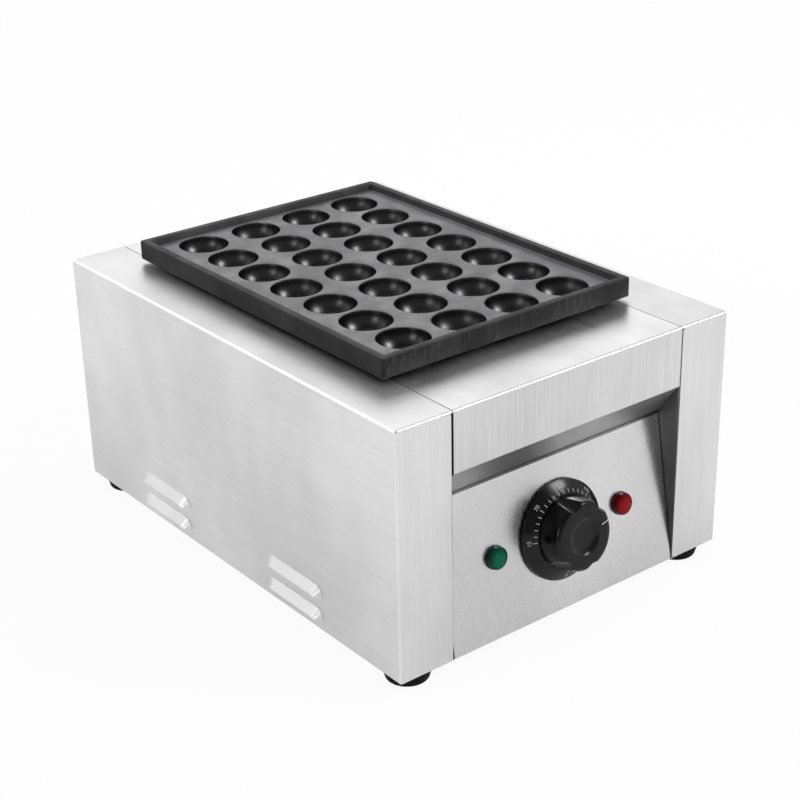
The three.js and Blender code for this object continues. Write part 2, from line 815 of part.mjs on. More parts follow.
// Hairpin heating element under two columns of cups
function heatingElement(side) {
  const [inner, outer] = [columnX(columnCount / 2) * side, columnX(columnCount - 1) * side];
  const front = plateSetback - trayDepth / 2 - elementTail;
  const turnY = plateSetback + plateDepth / 2 - elementBackInset;
  const radius = Math.abs(outer - inner) / 2;
  const middle = (inner + outer) / 2;
  const curve = new THREE.CurvePath();
  const at = (x, y) => new THREE.Vector3(x, y, elementZ);
  curve.add(new THREE.LineCurve3(at(inner, front), at(inner, turnY - radius)));
  const corner = circleShare * radius;
  curve.add(new THREE.CubicBezierCurve3(
    at(inner, turnY - radius),
    at(inner, turnY - radius + corner),
    at(middle - side * corner, turnY),
    at(middle, turnY),
  ));
  curve.add(new THREE.CubicBezierCurve3(
    at(middle, turnY),
    at(middle + side * corner, turnY),
    at(outer, turnY - radius + corner),
    at(outer, turnY - radius),
  ));
  curve.add(new THREE.LineCurve3(at(outer, turnY - radius), at(outer, front)));
  let element = rodAlong(curve, elementRadius, elementSteps);
  for (const x of [inner, outer]) {
    const pin = cylinderZ(pinRadius, -pinLength / 2, pinLength, tubeSides);
    element = join(element, moved(moved(pin, facingFront), shift(x, front, elementZ)));
  }
  return element;
}

// Reflector tray: a pan hung under the deck, its front wall pierced for the elements and the sensor
function reflectorTray() {
  const [outX, outY] = [trayWidth / 2, trayDepth / 2];
  const [inX, inY] = [outX - sheet, outY - sheet];
  const rimY = outY + trayFlange;
  let tray = cut(
    join(
      boxBetween([-outX, -outY, trayFloor], [outX, outY, trayTop]),
      boxBetween([-outX, -rimY, trayTop - sheet], [outX, rimY, trayTop]),
    ),
    boxBetween([-inX, -inY, trayFloor + sheet], [inX, inY, trayTop + overrun]),
  );
  const hole = (radius, x, z) => moved(
    moved(cylinderZ(radius, -overrun, overrun), facingBack),
    shift(x, -outY, z),
  );
  for (let i = 0; i < columnCount; i += 1) {
    tray = cut(tray, hole(elementRadius + trayHoleClearance, columnX(i), elementZ));
  }
  tray = cut(tray, hole(capillaryRadius + trayHoleClearance, 0, bulbZ));
  return moved(tray, shift(0, plateSetback, 0));
}

// Element carrier: a bridge across the tray, standing on its floor
function elementBracket(y) {
  const half = trayWidth / 2 - sheet - bracketEndInset;
  const low = trayFloor + sheet + seatGap;
  const line = foldedOutline([
    [half - bracketFoot, low],
    [half, low],
    [half, bracketTop],
    [-half, bracketTop],
    [-half, low],
    [-half + bracketFoot, low],
  ]);
  const geometry = new THREE.ExtrudeGeometry(line, { depth: bracketWidth, bevelEnabled: false });
  geometry.translate(0, 0, -bracketWidth / 2).rotateX(Math.PI / 2);
  return moved(toSolid(geometry), shift(0, plateSetback + y, 0));
}

// Temperature sensor: a bulb lying on the front carrier and its capillary down to the thermostat
const bulbZ = bracketTop + seatGap + bulbRadius;
const bulbY = plateSetback - trayDepth / 2 + bracketInset;
const thermostatBack = -sheet - thermostatPlate - thermostatDepth;
const behindDial = (z) => new THREE.Vector3(0, -dialDrop, z).applyMatrix4(panelPlace);

function capillarySensor() {
  const bulb = moved(
    moved(cylinderZ(bulbRadius, -bulbLength / 4, bulbLength * 3 / 4), facingBack),
    shift(0, bulbY, bulbZ),
  );
  const wallY = plateSetback - trayDepth / 2;
  const exit = behindDial(thermostatBack - capillaryLead);
  const curve = new THREE.CatmullRomCurve3([
    new THREE.Vector3(0, bulbY - bulbLength / 4 + bulbRadius, bulbZ),
    new THREE.Vector3(0, (bulbY - bulbLength / 4 + wallY) / 2, bulbZ),
    new THREE.Vector3(0, wallY, bulbZ),
    new THREE.Vector3(0, wallY - capillaryLead / 2, bulbZ - capillaryLead / 4),
    new THREE.Vector3(0, wallY - capillaryLead / 2, bulbZ - capillaryLead * 2),
    exit.clone().add(new THREE.Vector3(0, 0, capillaryLead)),
    behindDial(thermostatBack - capillaryLead / 2),
    behindDial(thermostatBack - seatGap),
  ]);
  return join(bulb, rodAlong(curve, capillaryRadius, capillarySteps, capillarySides));
}

// Saddle that holds the bulb down on the front carrier
function bulbClip() {
  const inner = bulbRadius + seatGap;
  const outer = inner + clipThickness;
  const low = bracketTop + seatGap;
  const shape = new THREE.Shape();
  shape.moveTo(outer + clipEar, low);
  shape.lineTo(outer + clipEar, low + clipThickness);
  shape.lineTo(outer, low + clipThickness);
  shape.lineTo(outer, bulbZ);
  shape.absarc(0, bulbZ, outer, 0, Math.PI, false);
  shape.lineTo(-outer, low + clipThickness);
  shape.lineTo(-outer - clipEar, low + clipThickness);
  shape.lineTo(-outer - clipEar, low);
  shape.lineTo(-inner, low);
  shape.lineTo(-inner, bulbZ);
  shape.absarc(0, bulbZ, inner, Math.PI, 0, true);
  shape.lineTo(inner, low);
  shape.closePath();
  const options = { depth: clipWidth, bevelEnabled: false, curveSegments: tubeSides };
  const geometry = new THREE.ExtrudeGeometry(shape, options);
  geometry.translate(0, 0, -clipWidth / 2).rotateX(Math.PI / 2);
  return moved(toSolid(geometry), shift(0, bulbY, 0));
}

function terminalBlock() {
  const low = baseTop + seatGap;
  let block = boxBetween(
    [-terminalLength / 2, -terminalDepth / 2, low],
    [terminalLength / 2, terminalDepth / 2, low + terminalHeight],
  );
  for (let i = 0; i < terminalPoles; i += 1) {
    const x = (i - (terminalPoles - 1) / 2) * terminalLength / terminalPoles;
    for (const side of [-1, 1]) {
      const [nearY, farY] = side > 0
        ? [terminalDepth / 4, terminalDepth]
        : [-terminalDepth, -terminalDepth / 4];
      block = cut(block, boxBetween(
        [x - terminalSlot / 2, nearY, low + terminalHeight - terminalSlotDepth],
        [x + terminalSlot / 2, farY, low + terminalHeight + overrun],
      ));
    }
  }
  return moved(block, shift(terminalPlaceX, rearY - terminalInset, 0));
}

// Cable gland, drawn along +Z and turned to point out of the rear panel
function glandBody() {
  const hexLow = seatGap;
  return cut(
    join(
      cylinderZ(glandHex, hexLow, hexLow + glandHexThickness, hexSides),
      cylinderZ(glandRadius, -sheet - glandTail, hexLow + glandHexThickness + glandNeck, roundSides),
    ),
    cylinderZ(glandBore, -sheet - glandTail - overrun, glandHexThickness + glandNeck + overrun),
  );
}

function glandCap() {
  const low = seatGap + glandHexThickness + seatGap;
  const high = low + glandCapLength;
  return turned([
    [glandRadius + seatGap, low],
    [glandCapRadius, low],
    [glandCapRadius, high - glandCapLength / 3],
    [glandRadius, high],
    [glandBore, high],
    [glandBore, low + glandNeck + seatGap],
    [glandRadius + seatGap, low + glandNeck + seatGap],
    [glandRadius + seatGap, low],
  ], smallSides);
}

function glandNut() {
  const top = -sheet - seatGap;
  return cut(
    cylinderZ(glandHex, top - glandNutThickness, top, hexSides),
    cylinderZ(glandRadius + seatGap, top - glandNutThickness - overrun, top + overrun, roundSides),
  );
}

// Case screw through the rear flange into the rear panel, drawn along +Z with its head's seat at zero
function caseScrew() {
  return join(
    turned([
      [0, seatGap],
      [caseScrewHeadRadius, seatGap],
      [caseScrewHeadRadius * Math.SQRT1_2, caseScrewHead * Math.SQRT1_2 + seatGap],
      [0, caseScrewHead],
    ], smallSides),
    cylinderZ(caseScrewRadius, -caseScrewLength, seatGap + caseScrewHead / 2, tubeSides),
  );
}

// Assembly
const takoyakiMaker = new THREE.Group();
const cabinet = new THREE.Group();
const panelFrame = new THREE.Group();
const rearFrame = new THREE.Group();
takoyakiMaker.add(cabinet);
cabinet.add(panelFrame, rearFrame);
panelFrame.rotation.x = Math.PI / 2 - panelLean;
panelFrame.position.set(0, panelTopY, panelTopZ);
rearFrame.rotation.x = -Math.PI / 2;
rearFrame.position.set(0, rearPanelY, 0);

function addMesh(parent, name, solid, material, place = [0, 0, 0]) {
  const mesh = new THREE.Mesh(toGeometry(solid), material);
  mesh.name = name;
  mesh.position.set(...place);
  parent.add(mesh);
}

const casing = rightCasing();
addMesh(cabinet, 'side_casing_right', casing, steel());
addMesh(cabinet, 'side_casing_left', moved(casing, mirrorX), steel());
addMesh(cabinet, 'deck_shell', deckShell(), steel());
addMesh(cabinet, 'control_panel', controlPanel(), steel());
addMesh(cabinet, 'rear_panel', rearPanel(), steel());
addMesh(cabinet, 'base_plate', basePlate(), steel());
addMesh(cabinet, 'takoyaki_plate', takoyakiPlate(), castIron());
addMesh(cabinet, 'reflector_tray', reflectorTray(), aluminised());
addMesh(cabinet, 'element_bracket_front', elementBracket(bracketInset - trayDepth / 2), plated());
addMesh(cabinet, 'element_bracket_rear', elementBracket(trayDepth / 2 - bracketInset), plated());
addMesh(cabinet, 'heating_element_left', heatingElement(-1), sheathed());
addMesh(cabinet, 'heating_element_right', heatingElement(1), sheathed());
addMesh(cabinet, 'capillary_sensor', capillarySensor(), copper());
addMesh(cabinet, 'bulb_clip', bulbClip(), plated());
addMesh(cabinet, 'terminal_block', terminalBlock(), ceramic());

for (const [across, sideSign] of [['left', -1], ['right', 1]]) {
  for (const [along, y] of [['front', frontY + footInsetY], ['rear', rearY - footInsetY]]) {
    const place = [sideSign * footX, y, 0];
    addMesh(cabinet, `foot_${along}_${across}`, foot(), rubber(), place);
    addMesh(cabinet, `foot_screw_${along}_${across}`, footScrew(), plated(), place);
  }
}

addMesh(panelFrame, 'dial_knob', dialKnob(), blackPlastic(), [0, -dialDrop, 0]);
addMesh(panelFrame, 'dial_shaft', cylinderZ(shaftRadius, -shaftIn, shaftOut), plated(), [0, -dialDrop, 0]);
addMesh(panelFrame, 'thermostat_body', thermostatBody(), ceramic(), [0, -dialDrop, 0]);
for (const [across, sideSign] of [['left', -1], ['right', 1]]) {
  const screwPlace = [sideSign * panelScrewPitch / 2, -dialDrop, 0];
  addMesh(panelFrame, `thermostat_screw_${across}`, panelScrew(), plated(), screwPlace);
}
for (const [colour, sideSign, lens] of [['green', -1, greenLens], ['red', 1, redLens]]) {
  const place = [sideSign * lampSpacing, -lampDrop, 0];
  addMesh(panelFrame, `lamp_lens_${colour}`, lampLens(), lens(), place);
  addMesh(panelFrame, `lamp_body_${colour}`, lampBody(), blackPlastic(), place);
}

addMesh(rearFrame, 'cable_gland', glandBody(), blackPlastic(), [glandX, -glandZ, 0]);
addMesh(rearFrame, 'gland_cap', glandCap(), blackPlastic(), [glandX, -glandZ, 0]);
addMesh(rearFrame, 'gland_nut', glandNut(), blackPlastic(), [glandX, -glandZ, 0]);
for (const [across, sideSign] of [['left', -1], ['right', 1]]) {
  for (const [level, z] of [['lower', caseScrewLow], ['upper', caseScrewHigh]]) {
    const place = [sideSign * caseScrewX, -z, sheet + seatGap];
    addMesh(rearFrame, `case_screw_${level}_${across}`, caseScrew(), plated(), place);
  }
}

// The origin goes under the middle of the whole object
cabinet.position.z = footHeight;
cabinet.updateMatrixWorld(true);
const bounds = new THREE.Box3().setFromObject(takoyakiMaker, true);
cabinet.position.y = -(bounds.min.y + bounds.max.y) / 2;

export default takoyakiMaker;
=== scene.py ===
"""Looks of a countertop takoyaki maker: folded steel cabinet, cast iron plate, thermostat dial and lamps.

Metres, +Z up, the front faces -Y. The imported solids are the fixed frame. The pieces made here stand for
the nodes whose form gains by finer work; the other nodes keep their form and get a finish.
"""

import json
import logging
import math
from dataclasses import dataclass
from enum import Enum
from typing import Callable, Iterable, Sequence

import bmesh
import bpy
from mathutils import Matrix, Vector


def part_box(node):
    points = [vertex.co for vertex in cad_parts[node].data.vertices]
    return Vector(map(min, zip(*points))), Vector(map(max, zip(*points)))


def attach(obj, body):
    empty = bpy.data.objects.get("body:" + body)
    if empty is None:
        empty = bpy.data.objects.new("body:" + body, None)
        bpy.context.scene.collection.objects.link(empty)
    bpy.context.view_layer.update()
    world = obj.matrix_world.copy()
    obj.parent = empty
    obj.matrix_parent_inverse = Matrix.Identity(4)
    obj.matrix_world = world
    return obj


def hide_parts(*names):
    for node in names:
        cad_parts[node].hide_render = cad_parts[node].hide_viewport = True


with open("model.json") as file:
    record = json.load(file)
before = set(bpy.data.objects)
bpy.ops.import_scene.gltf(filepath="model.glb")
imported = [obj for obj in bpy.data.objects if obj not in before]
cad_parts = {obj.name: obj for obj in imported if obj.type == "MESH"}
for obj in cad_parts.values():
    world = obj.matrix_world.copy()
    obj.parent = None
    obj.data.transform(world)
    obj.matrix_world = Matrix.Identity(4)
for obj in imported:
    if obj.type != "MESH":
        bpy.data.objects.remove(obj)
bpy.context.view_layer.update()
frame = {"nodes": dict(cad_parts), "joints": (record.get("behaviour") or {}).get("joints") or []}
LOG = logging.getLogger("takoyaki_maker")

Point = tuple[float, float, float]
Socket = bpy.types.NodeSocket
Item = bpy.types.Object
Pair = tuple[float, float]
Pairs = Sequence[Pair]
Test = Callable[[Vector, Vector], bool]

BLACK: Point = (0.0, 0.0, 0.0)
WHITE = (1.0, 1.0, 1.0, 1.0)
TOUCH = 1e-5  # metres: points this near lie on the same line
BEND_STEPS = 6  # facets across a folded or rounded edge
BEND_ZONE = 0.003  # metres: how far below a sheet's top its bend reaches
PRINT_RISE = 0.00004  # metres: half the thickness of the dial's ink


class Side(Enum):
    """The two sides of the cabinet, by the sign of X."""

    LEFT = -1
    RIGHT = 1


class Grain(Enum):
    """The direction in which a sheet was brushed, as the stretch of its scratches along X, Y and Z."""

    ALONG = (1.0, 0.016, 1.0)
    UPRIGHT = (1.0, 1.0, 0.016)


class Body(Enum):
    """The moving bodies of the part."""

    CABINET = "cabinet"
    PLATE = "plate"
    KNOB = "knob"


# ---------------------------------------------------------------- finishes


class Shades:
    """The node graph of one material, laid out from object coordinates to the output."""

    def __init__(self, name: str) -> None:
        """Starts an empty node graph under a name."""
        self.material = bpy.data.materials.new(name)
        self.take(self.material)

    def take(self, owner: bpy.types.ID) -> None:
        """Takes up the owner's node graph and empties it."""
        owner.use_nodes = True
        self.tree = owner.node_tree
        self.tree.nodes.clear()

    @classmethod
    def of_world(cls, world: bpy.types.World) -> "Shades":
        """Starts the graph of a world instead of a material's."""
        shades = cls.__new__(cls)
        shades.take(world)
        return shades

    def add(self, kind: str, inputs: dict | None = None, **settings: object) -> bpy.types.Node:
        """Adds a node.

        Args:
            kind: The node's type.
            inputs: Values or sockets for its inputs.
            settings: The node's own settings.

        Returns:
            The new node.
        """
        node = self.tree.nodes.new(kind)
        for key, value in settings.items():
            setattr(node, key, value)
        for key, value in (inputs or {}).items():
            if isinstance(value, Socket):
                self.tree.links.new(value, node.inputs[key])
            else:
                node.inputs[key].default_value = value
        return node

    def place(self, stretch: Point = (1.0, 1.0, 1.0)) -> Socket:
        """Gives object coordinates, stretched along the axes."""
        where = self.add("ShaderNodeTexCoord")
        mapping = self.add("ShaderNodeMapping", {"Vector": where.outputs["Object"], "Scale": stretch})
        return mapping.outputs["Vector"]

    def noise(self, where: Socket, scale: float, detail: float = 3.0, rough: float = 0.5) -> Socket:
        """Gives fractal noise.

        Args:
            where: The coordinates.
            scale: Waves per metre.
            detail: Octaves.
            rough: How strong the finer octaves are.

        Returns:
            The noise, about 0.5.
        """
        inputs = {"Vector": where, "Scale": scale, "Detail": detail, "Roughness": rough}
        return self.add("ShaderNodeTexNoise", inputs).outputs["Fac"]

    def sweep(self, value: Socket, low: float, high: float, start: float = 0.3, end: float = 0.7) -> Socket:
        """Maps a value between start and end to low and high, smoothly."""
        inputs = {"Value": value, "From Min": start, "From Max": end, "To Min": low, "To Max": high}
        return self.add("ShaderNodeMapRange", inputs, interpolation_type="SMOOTHSTEP").outputs["Result"]

    def sums(self, first: Socket, second: Socket | float, operation: str = "ADD") -> Socket:
        """Joins two values by a mathematical operation."""
        node = self.add("ShaderNodeMath", operation=operation)
        self.tree.links.new(first, node.inputs[0])
        if isinstance(second, Socket):
            self.tree.links.new(second, node.inputs[1])
        else:
            node.inputs[1].default_value = second
        return node.outputs["Value"]

    def times(self, first: Socket, second: Socket | float) -> Socket:
        """Multiplies two values."""
        return self.sums(first, second, "MULTIPLY")

    def crystals(self, where: Socket, scale: float) -> Socket:
        """Gives flat cells, each of its own grey."""
        cells = self.add("ShaderNodeTexVoronoi", {"Vector": where, "Scale": scale}).outputs["Color"]
        return self.add("ShaderNodeSeparateColor", {"Color": cells}).outputs["Red"]

    def rays(self) -> tuple[Socket, Socket]:
        """Tells what the camera sees, straight or through glass, and what gloss mirrors."""
        path = self.add("ShaderNodeLightPath").outputs
        return self.sums(path["Is Camera Ray"], path["Is Transmission Ray"], "MAXIMUM"), path["Is Glossy Ray"]

    def mix(self, share: Socket, first: Socket, second: Socket) -> Socket:
        """Mixes two shaders."""
        return self.add("ShaderNodeMixShader", {"Fac": share, 1: first, 2: second}).outputs["Shader"]

    def put_out(self, surface: Socket, kind: str = "ShaderNodeOutputMaterial") -> None:
        """Puts a surface on the graph's output."""
        self.add(kind, {"Surface": surface})

    def tones(self, value: Socket, stops: Sequence[tuple[float, Point]]) -> Socket:
        """Gives colours along a ramp."""
        ramp = self.add("ShaderNodeValToRGB", {"Fac": value}).color_ramp
        ramp.elements[0].position, ramp.elements[1].position = stops[0][0], stops[-1][0]
        for position, _ in stops[1:-1]:
            ramp.elements.new(position)
        for element, (_, colour) in zip(ramp.elements, stops):
            element.color = (*colour, 1.0)
        return self.tree.nodes[-1].outputs["Color"]

    def relief(self, height: Socket, depth: float, under: Socket | None = None) -> Socket:
        """Gives a bumped normal; depth is in metres."""
        inputs = {"Height": height, "Distance": depth, "Strength": 1.0}
        if under is not None:
            inputs["Normal"] = under
        return self.add("ShaderNodeBump", inputs).outputs["Normal"]

    def finish(self, **inputs: object) -> bpy.types.Material:
        """Puts a principled shader with these inputs on the output and gives the material."""
        values = {key.replace("_", " "): value for key, value in inputs.items()}
        self.put_out(self.add("ShaderNodeBsdfPrincipled", values).outputs["BSDF"])
        return self.material


@dataclass(frozen=True)
class BrushedSteel:
    """Stainless sheet with a fine brushed grain, and soft cloudy smudges from handling."""

    name: str
    grain: Grain
    tone: float = 0.66
    cloud: float = 0.07
    scratch: float = 0.000009
    rough: float = 0.35
    streak: float = 0.03
    fine_waves: float = 2600.0
    fine_share: float = 0.45
    coarse_waves: float = 620.0
    coarse_share: float = 0.55
    cloud_waves: float = 8.5
    cloud_stretch: Point = (1.0, 1.0, 0.62)
    scratch_band: Pair = (0.36, 0.64)
    cloud_band: Pair = (0.34, 0.66)
    gloss_spread: float = 0.05
    cool_white: Point = (1.0, 0.991, 0.993)

    def build(self) -> bpy.types.Material:
        """Lays coarse and fine scratches and clouds over the tone, roughness and relief."""
        s = Shades(self.name)
        along = s.place(self.grain.value)
        fine = s.times(s.noise(along, self.fine_waves, 2.0, 0.6), self.fine_share)
        coarse = s.times(s.noise(along, self.coarse_waves, 4.0, 0.62), self.coarse_share)
        scratches = s.sums(fine, coarse)
        clouds = s.noise(s.place(self.cloud_stretch), self.cloud_waves, 3.5, 0.55)
        smudge = s.sweep(clouds, -self.cloud, self.cloud * 0.55, *self.cloud_band)
        streaks = s.sweep(scratches, -self.streak, self.streak, *self.scratch_band)
        value = s.sums(s.sums(streaks, smudge), self.tone)
        colour = s.tones(value, [(0.0, BLACK), (1.0, self.cool_white)])
        low, high = self.rough - self.gloss_spread, self.rough + self.gloss_spread
        gloss = s.sweep(scratches, low, high, *self.scratch_band)
        rough = s.sums(gloss, s.sweep(clouds, 0.05, -0.02, *self.cloud_band))
        relief = s.relief(scratches, self.scratch)
        return s.finish(Base_Color=colour, Metallic=1.0, Roughness=rough, Normal=relief)


@dataclass(frozen=True)
class MillSheet:
    """Bare or coated sheet metal inside and behind the cabinet, with a faint mottled bloom."""

    name: str
    tone: Point
    rough: float = 0.45
    bloom: float = 260.0
    depth: float = 0.16
    film: float = 0.00002
    film_waves: float = 900.0
    gloss_spread: Pair = (-0.07, 0.09)

    def build(self) -> bpy.types.Material:
        """Mottles the tone with flat crystals and dulls them by turns."""
        s = Shades(self.name)
        grey = s.crystals(s.place(), self.bloom)
        dark = tuple(channel * (1.0 - self.depth) for channel in self.tone)
        colour = s.tones(grey, [(0.1, dark), (0.9, self.tone)])
        low, high = (self.rough + spread for spread in self.gloss_spread)
        rough = s.sweep(grey, low, high, 0.0, 1.0)
        film = s.relief(s.noise(s.place(), self.film_waves, 2.0), self.film)
        return s.finish(Base_Color=colour, Metallic=1.0, Roughness=rough, Normal=film)


@dataclass(frozen=True)
class CastIron:
    """Seasoned cast iron: black, with a fine pebbled skin."""

    name: str
    low_rough: float = 0.36
    high_rough: float = 0.52
    pebble: float = 0.00005
    ground: bool = False
    shine: float = 0.5
    # factor on the colour stops: above 1 it paints a sheen, below 1 it paints shade
    depth: float = 1.0
    skin_waves: float = 1500.0
    wear_waves: float = 38.0
    score_waves: float = 700.0
    score_stretch: Point = (1.0, 1.0, 0.11)
    score_depth: float = 0.00022
    deep: Point = (0.010, 0.010, 0.011)
    middle: Point = (0.019, 0.019, 0.020)
    pale: Point = (0.034, 0.034, 0.035)
    bare: Point = (0.050, 0.049, 0.048)

    def build(self) -> bpy.types.Material:
        """Pebbles the skin, or scores it upright where the edge was ground."""
        s = Shades(self.name)
        skin = s.noise(s.place(), self.skin_waves, 3.0, 0.6)
        wear = s.noise(s.place(), self.wear_waves, 4.0, 0.6)
        normal = s.relief(skin, self.pebble)
        tone = s.sums(s.sweep(wear, 0.0, 0.5, 0.35, 0.7), s.sweep(skin, 0.0, 0.5))
        if self.ground:
            scores = s.noise(s.place(self.score_stretch), self.score_waves, 5.0, 0.68)
            normal = s.relief(scores, self.score_depth, normal)
            tone = s.sums(tone, s.sweep(scores, -0.2, 0.55, 0.42, 0.74))
        stops = [(0.0, self.deep), (0.6, self.middle), (1.0, self.bare if self.ground else self.pale)]
        stops = [(at, tuple(channel * self.depth for channel in shade)) for at, shade in stops]
        colour = s.tones(tone, stops)
        rough = s.sums(s.sweep(skin, self.low_rough, self.high_rough), s.sweep(wear, 0.05, -0.04, 0.35, 0.65))
        return s.finish(
            Base_Color=colour, Metallic=0.0, Roughness=rough, Normal=normal, Specular_IOR_Level=self.shine
        )


@dataclass(frozen=True)
class Moulding:
    """Moulded plastic, rubber or glazed ceramic with a fine spark-eroded skin."""

    name: str
    tone: Point
    rough: float = 0.4
    skin: float = 0.00002
    skin_waves: float = 1300.0
    shine: float = 0.3
    drift_waves: float = 30.0
    gloss_spread: Pair = (-0.05, 0.06)

    def build(self) -> bpy.types.Material:
        """Varies the tone and the gloss a little and grains the skin."""
        s = Shades(self.name)
        grain = s.noise(s.place(), self.skin_waves, 2.0, 0.55)
        drift = s.noise(s.place(), self.drift_waves, 3.0)
        pale = tuple(min(1.0, channel * 1.3 + 0.002) for channel in self.tone)
        colour = s.tones(s.sweep(drift, 0.0, 1.0), [(0.0, self.tone), (1.0, pale)])
        low, high = (self.rough + spread for spread in self.gloss_spread)
        rough = s.sums(s.sweep(grain, low, high), s.sweep(drift, -0.03, 0.04))
        return s.finish(
            Base_Color=colour, Metallic=0.0, Roughness=rough, Normal=s.relief(grain, self.skin),
            Specular_IOR_Level=self.shine,
        )


@dataclass(frozen=True)
class LampGlass:
    """Deep coloured lens of a signal lamp, with moulded rings behind its face and painted shade that darkens
    it towards its edge.
    """

    name: str
    tone: Point
    centre: Point
    lean: float = math.atan2(0.17066, 0.98533)
    ring_waves: float = 7500.0
    ring_depth: float = 0.00001
    edge_shade_from: float = 0.0035
    edge_shade_to: float = 0.0078
    prism_waves: float = 620.0
    edge_shade_share: float = 0.30
    shine: float = 0.09

    def build(self) -> bpy.types.Material:
        """Rings the colour round the lens's own axis, darkens it towards the edge as painted shade and keeps
        the face glossy.
        """
        s = Shades(self.name)
        where = s.add("ShaderNodeTexCoord").outputs["Object"]
        turn = {"Vector": where, "Location": self.centre, "Rotation": (self.lean, 0.0, 0.0)}
        local = s.add("ShaderNodeMapping", turn, vector_type="TEXTURE").outputs["Vector"]
        parts = s.add("ShaderNodeSeparateXYZ", {"Vector": local})
        across = s.times(parts.outputs["X"], parts.outputs["X"])
        up = s.times(parts.outputs["Z"], parts.outputs["Z"])
        reach = s.sums(s.sums(across, up), 0.5, "POWER")
        rings = s.sums(s.times(reach, self.ring_waves), 0.0, "SINE")
        # painted shade: the lens's colour darkens from its middle to its edge
        edge_shade = s.sweep(reach, 1.0, 0.25, self.edge_shade_from, self.edge_shade_to)
        prisms = s.crystals(where, self.prism_waves)
        mottled_and_edge_shade = s.sums(s.sums(edge_shade, s.times(rings, 0.05)), s.sweep(prisms, -0.34, 0.06, 0.0, 1.0))
        # the colour of the painted shade at the edge
        deep = tuple(channel * self.edge_shade_share for channel in self.tone)
        colour = s.tones(mottled_and_edge_shade, [(0.1, deep), (1.0, self.tone)])
        rough = s.sweep(s.noise(s.place(), 600.0), 0.10, 0.17)
        return s.finish(
            Base_Color=colour, Metallic=0.0, Roughness=rough, Normal=s.relief(rings, self.ring_depth),
            Specular_IOR_Level=self.shine,
        )


@dataclass(frozen=True)
class WhitePrint:
    """White ink pad-printed on the dial, slightly uneven."""

    name: str = "white_print"
    waves: float = 2200.0
    thin: Point = (0.62, 0.62, 0.61)
    full: Point = (0.88, 0.88, 0.86)

    def build(self) -> bpy.types.Material:
        """Thins the ink here and there."""
        s = Shades(self.name)
        ink = s.noise(s.place(), self.waves, 2.0)
        colour = s.tones(ink, [(0.3, self.thin), (0.6, self.full)])
        return s.finish(Base_Color=colour, Metallic=0.0, Roughness=s.sweep(ink, 0.45, 0.6))


@dataclass(frozen=True)
class Backdrop:
    """Pale seamless paper that keeps the object's shadow and is clear from below."""

    name: str = "pale_backdrop"
    glow: float = 0.93
    mirrored: float = 0.55
    waves: float = 400.0
    grey: Point = (0.86, 0.86, 0.86)
    pale: Point = (0.90, 0.90, 0.90)

    def build(self) -> bpy.types.Material:
        """Mixes white into what the camera, gloss and glass see of the paper."""
        s = Shades(self.name)
        tooth = s.noise(s.place(), self.waves, 2.0)
        colour = s.tones(tooth, [(0.3, self.grey), (0.7, self.pale)])
        paper = s.add("ShaderNodeBsdfDiffuse", {"Color": colour, "Roughness": 1.0})
        white = s.add("ShaderNodeEmission", {"Color": WHITE, "Strength": 1.0})
        seen, gloss = s.rays()
        share = s.sums(s.times(seen, self.glow), s.times(gloss, self.mirrored), "MAXIMUM")
        lit = s.mix(share, paper.outputs["BSDF"], white.outputs["Emission"])
        below = s.add("ShaderNodeNewGeometry").outputs["Backfacing"]
        clear = s.add("ShaderNodeBsdfTransparent")
        s.put_out(s.mix(below, lit, clear.outputs["BSDF"]), "ShaderNodeOutputMaterial")
        return s.material


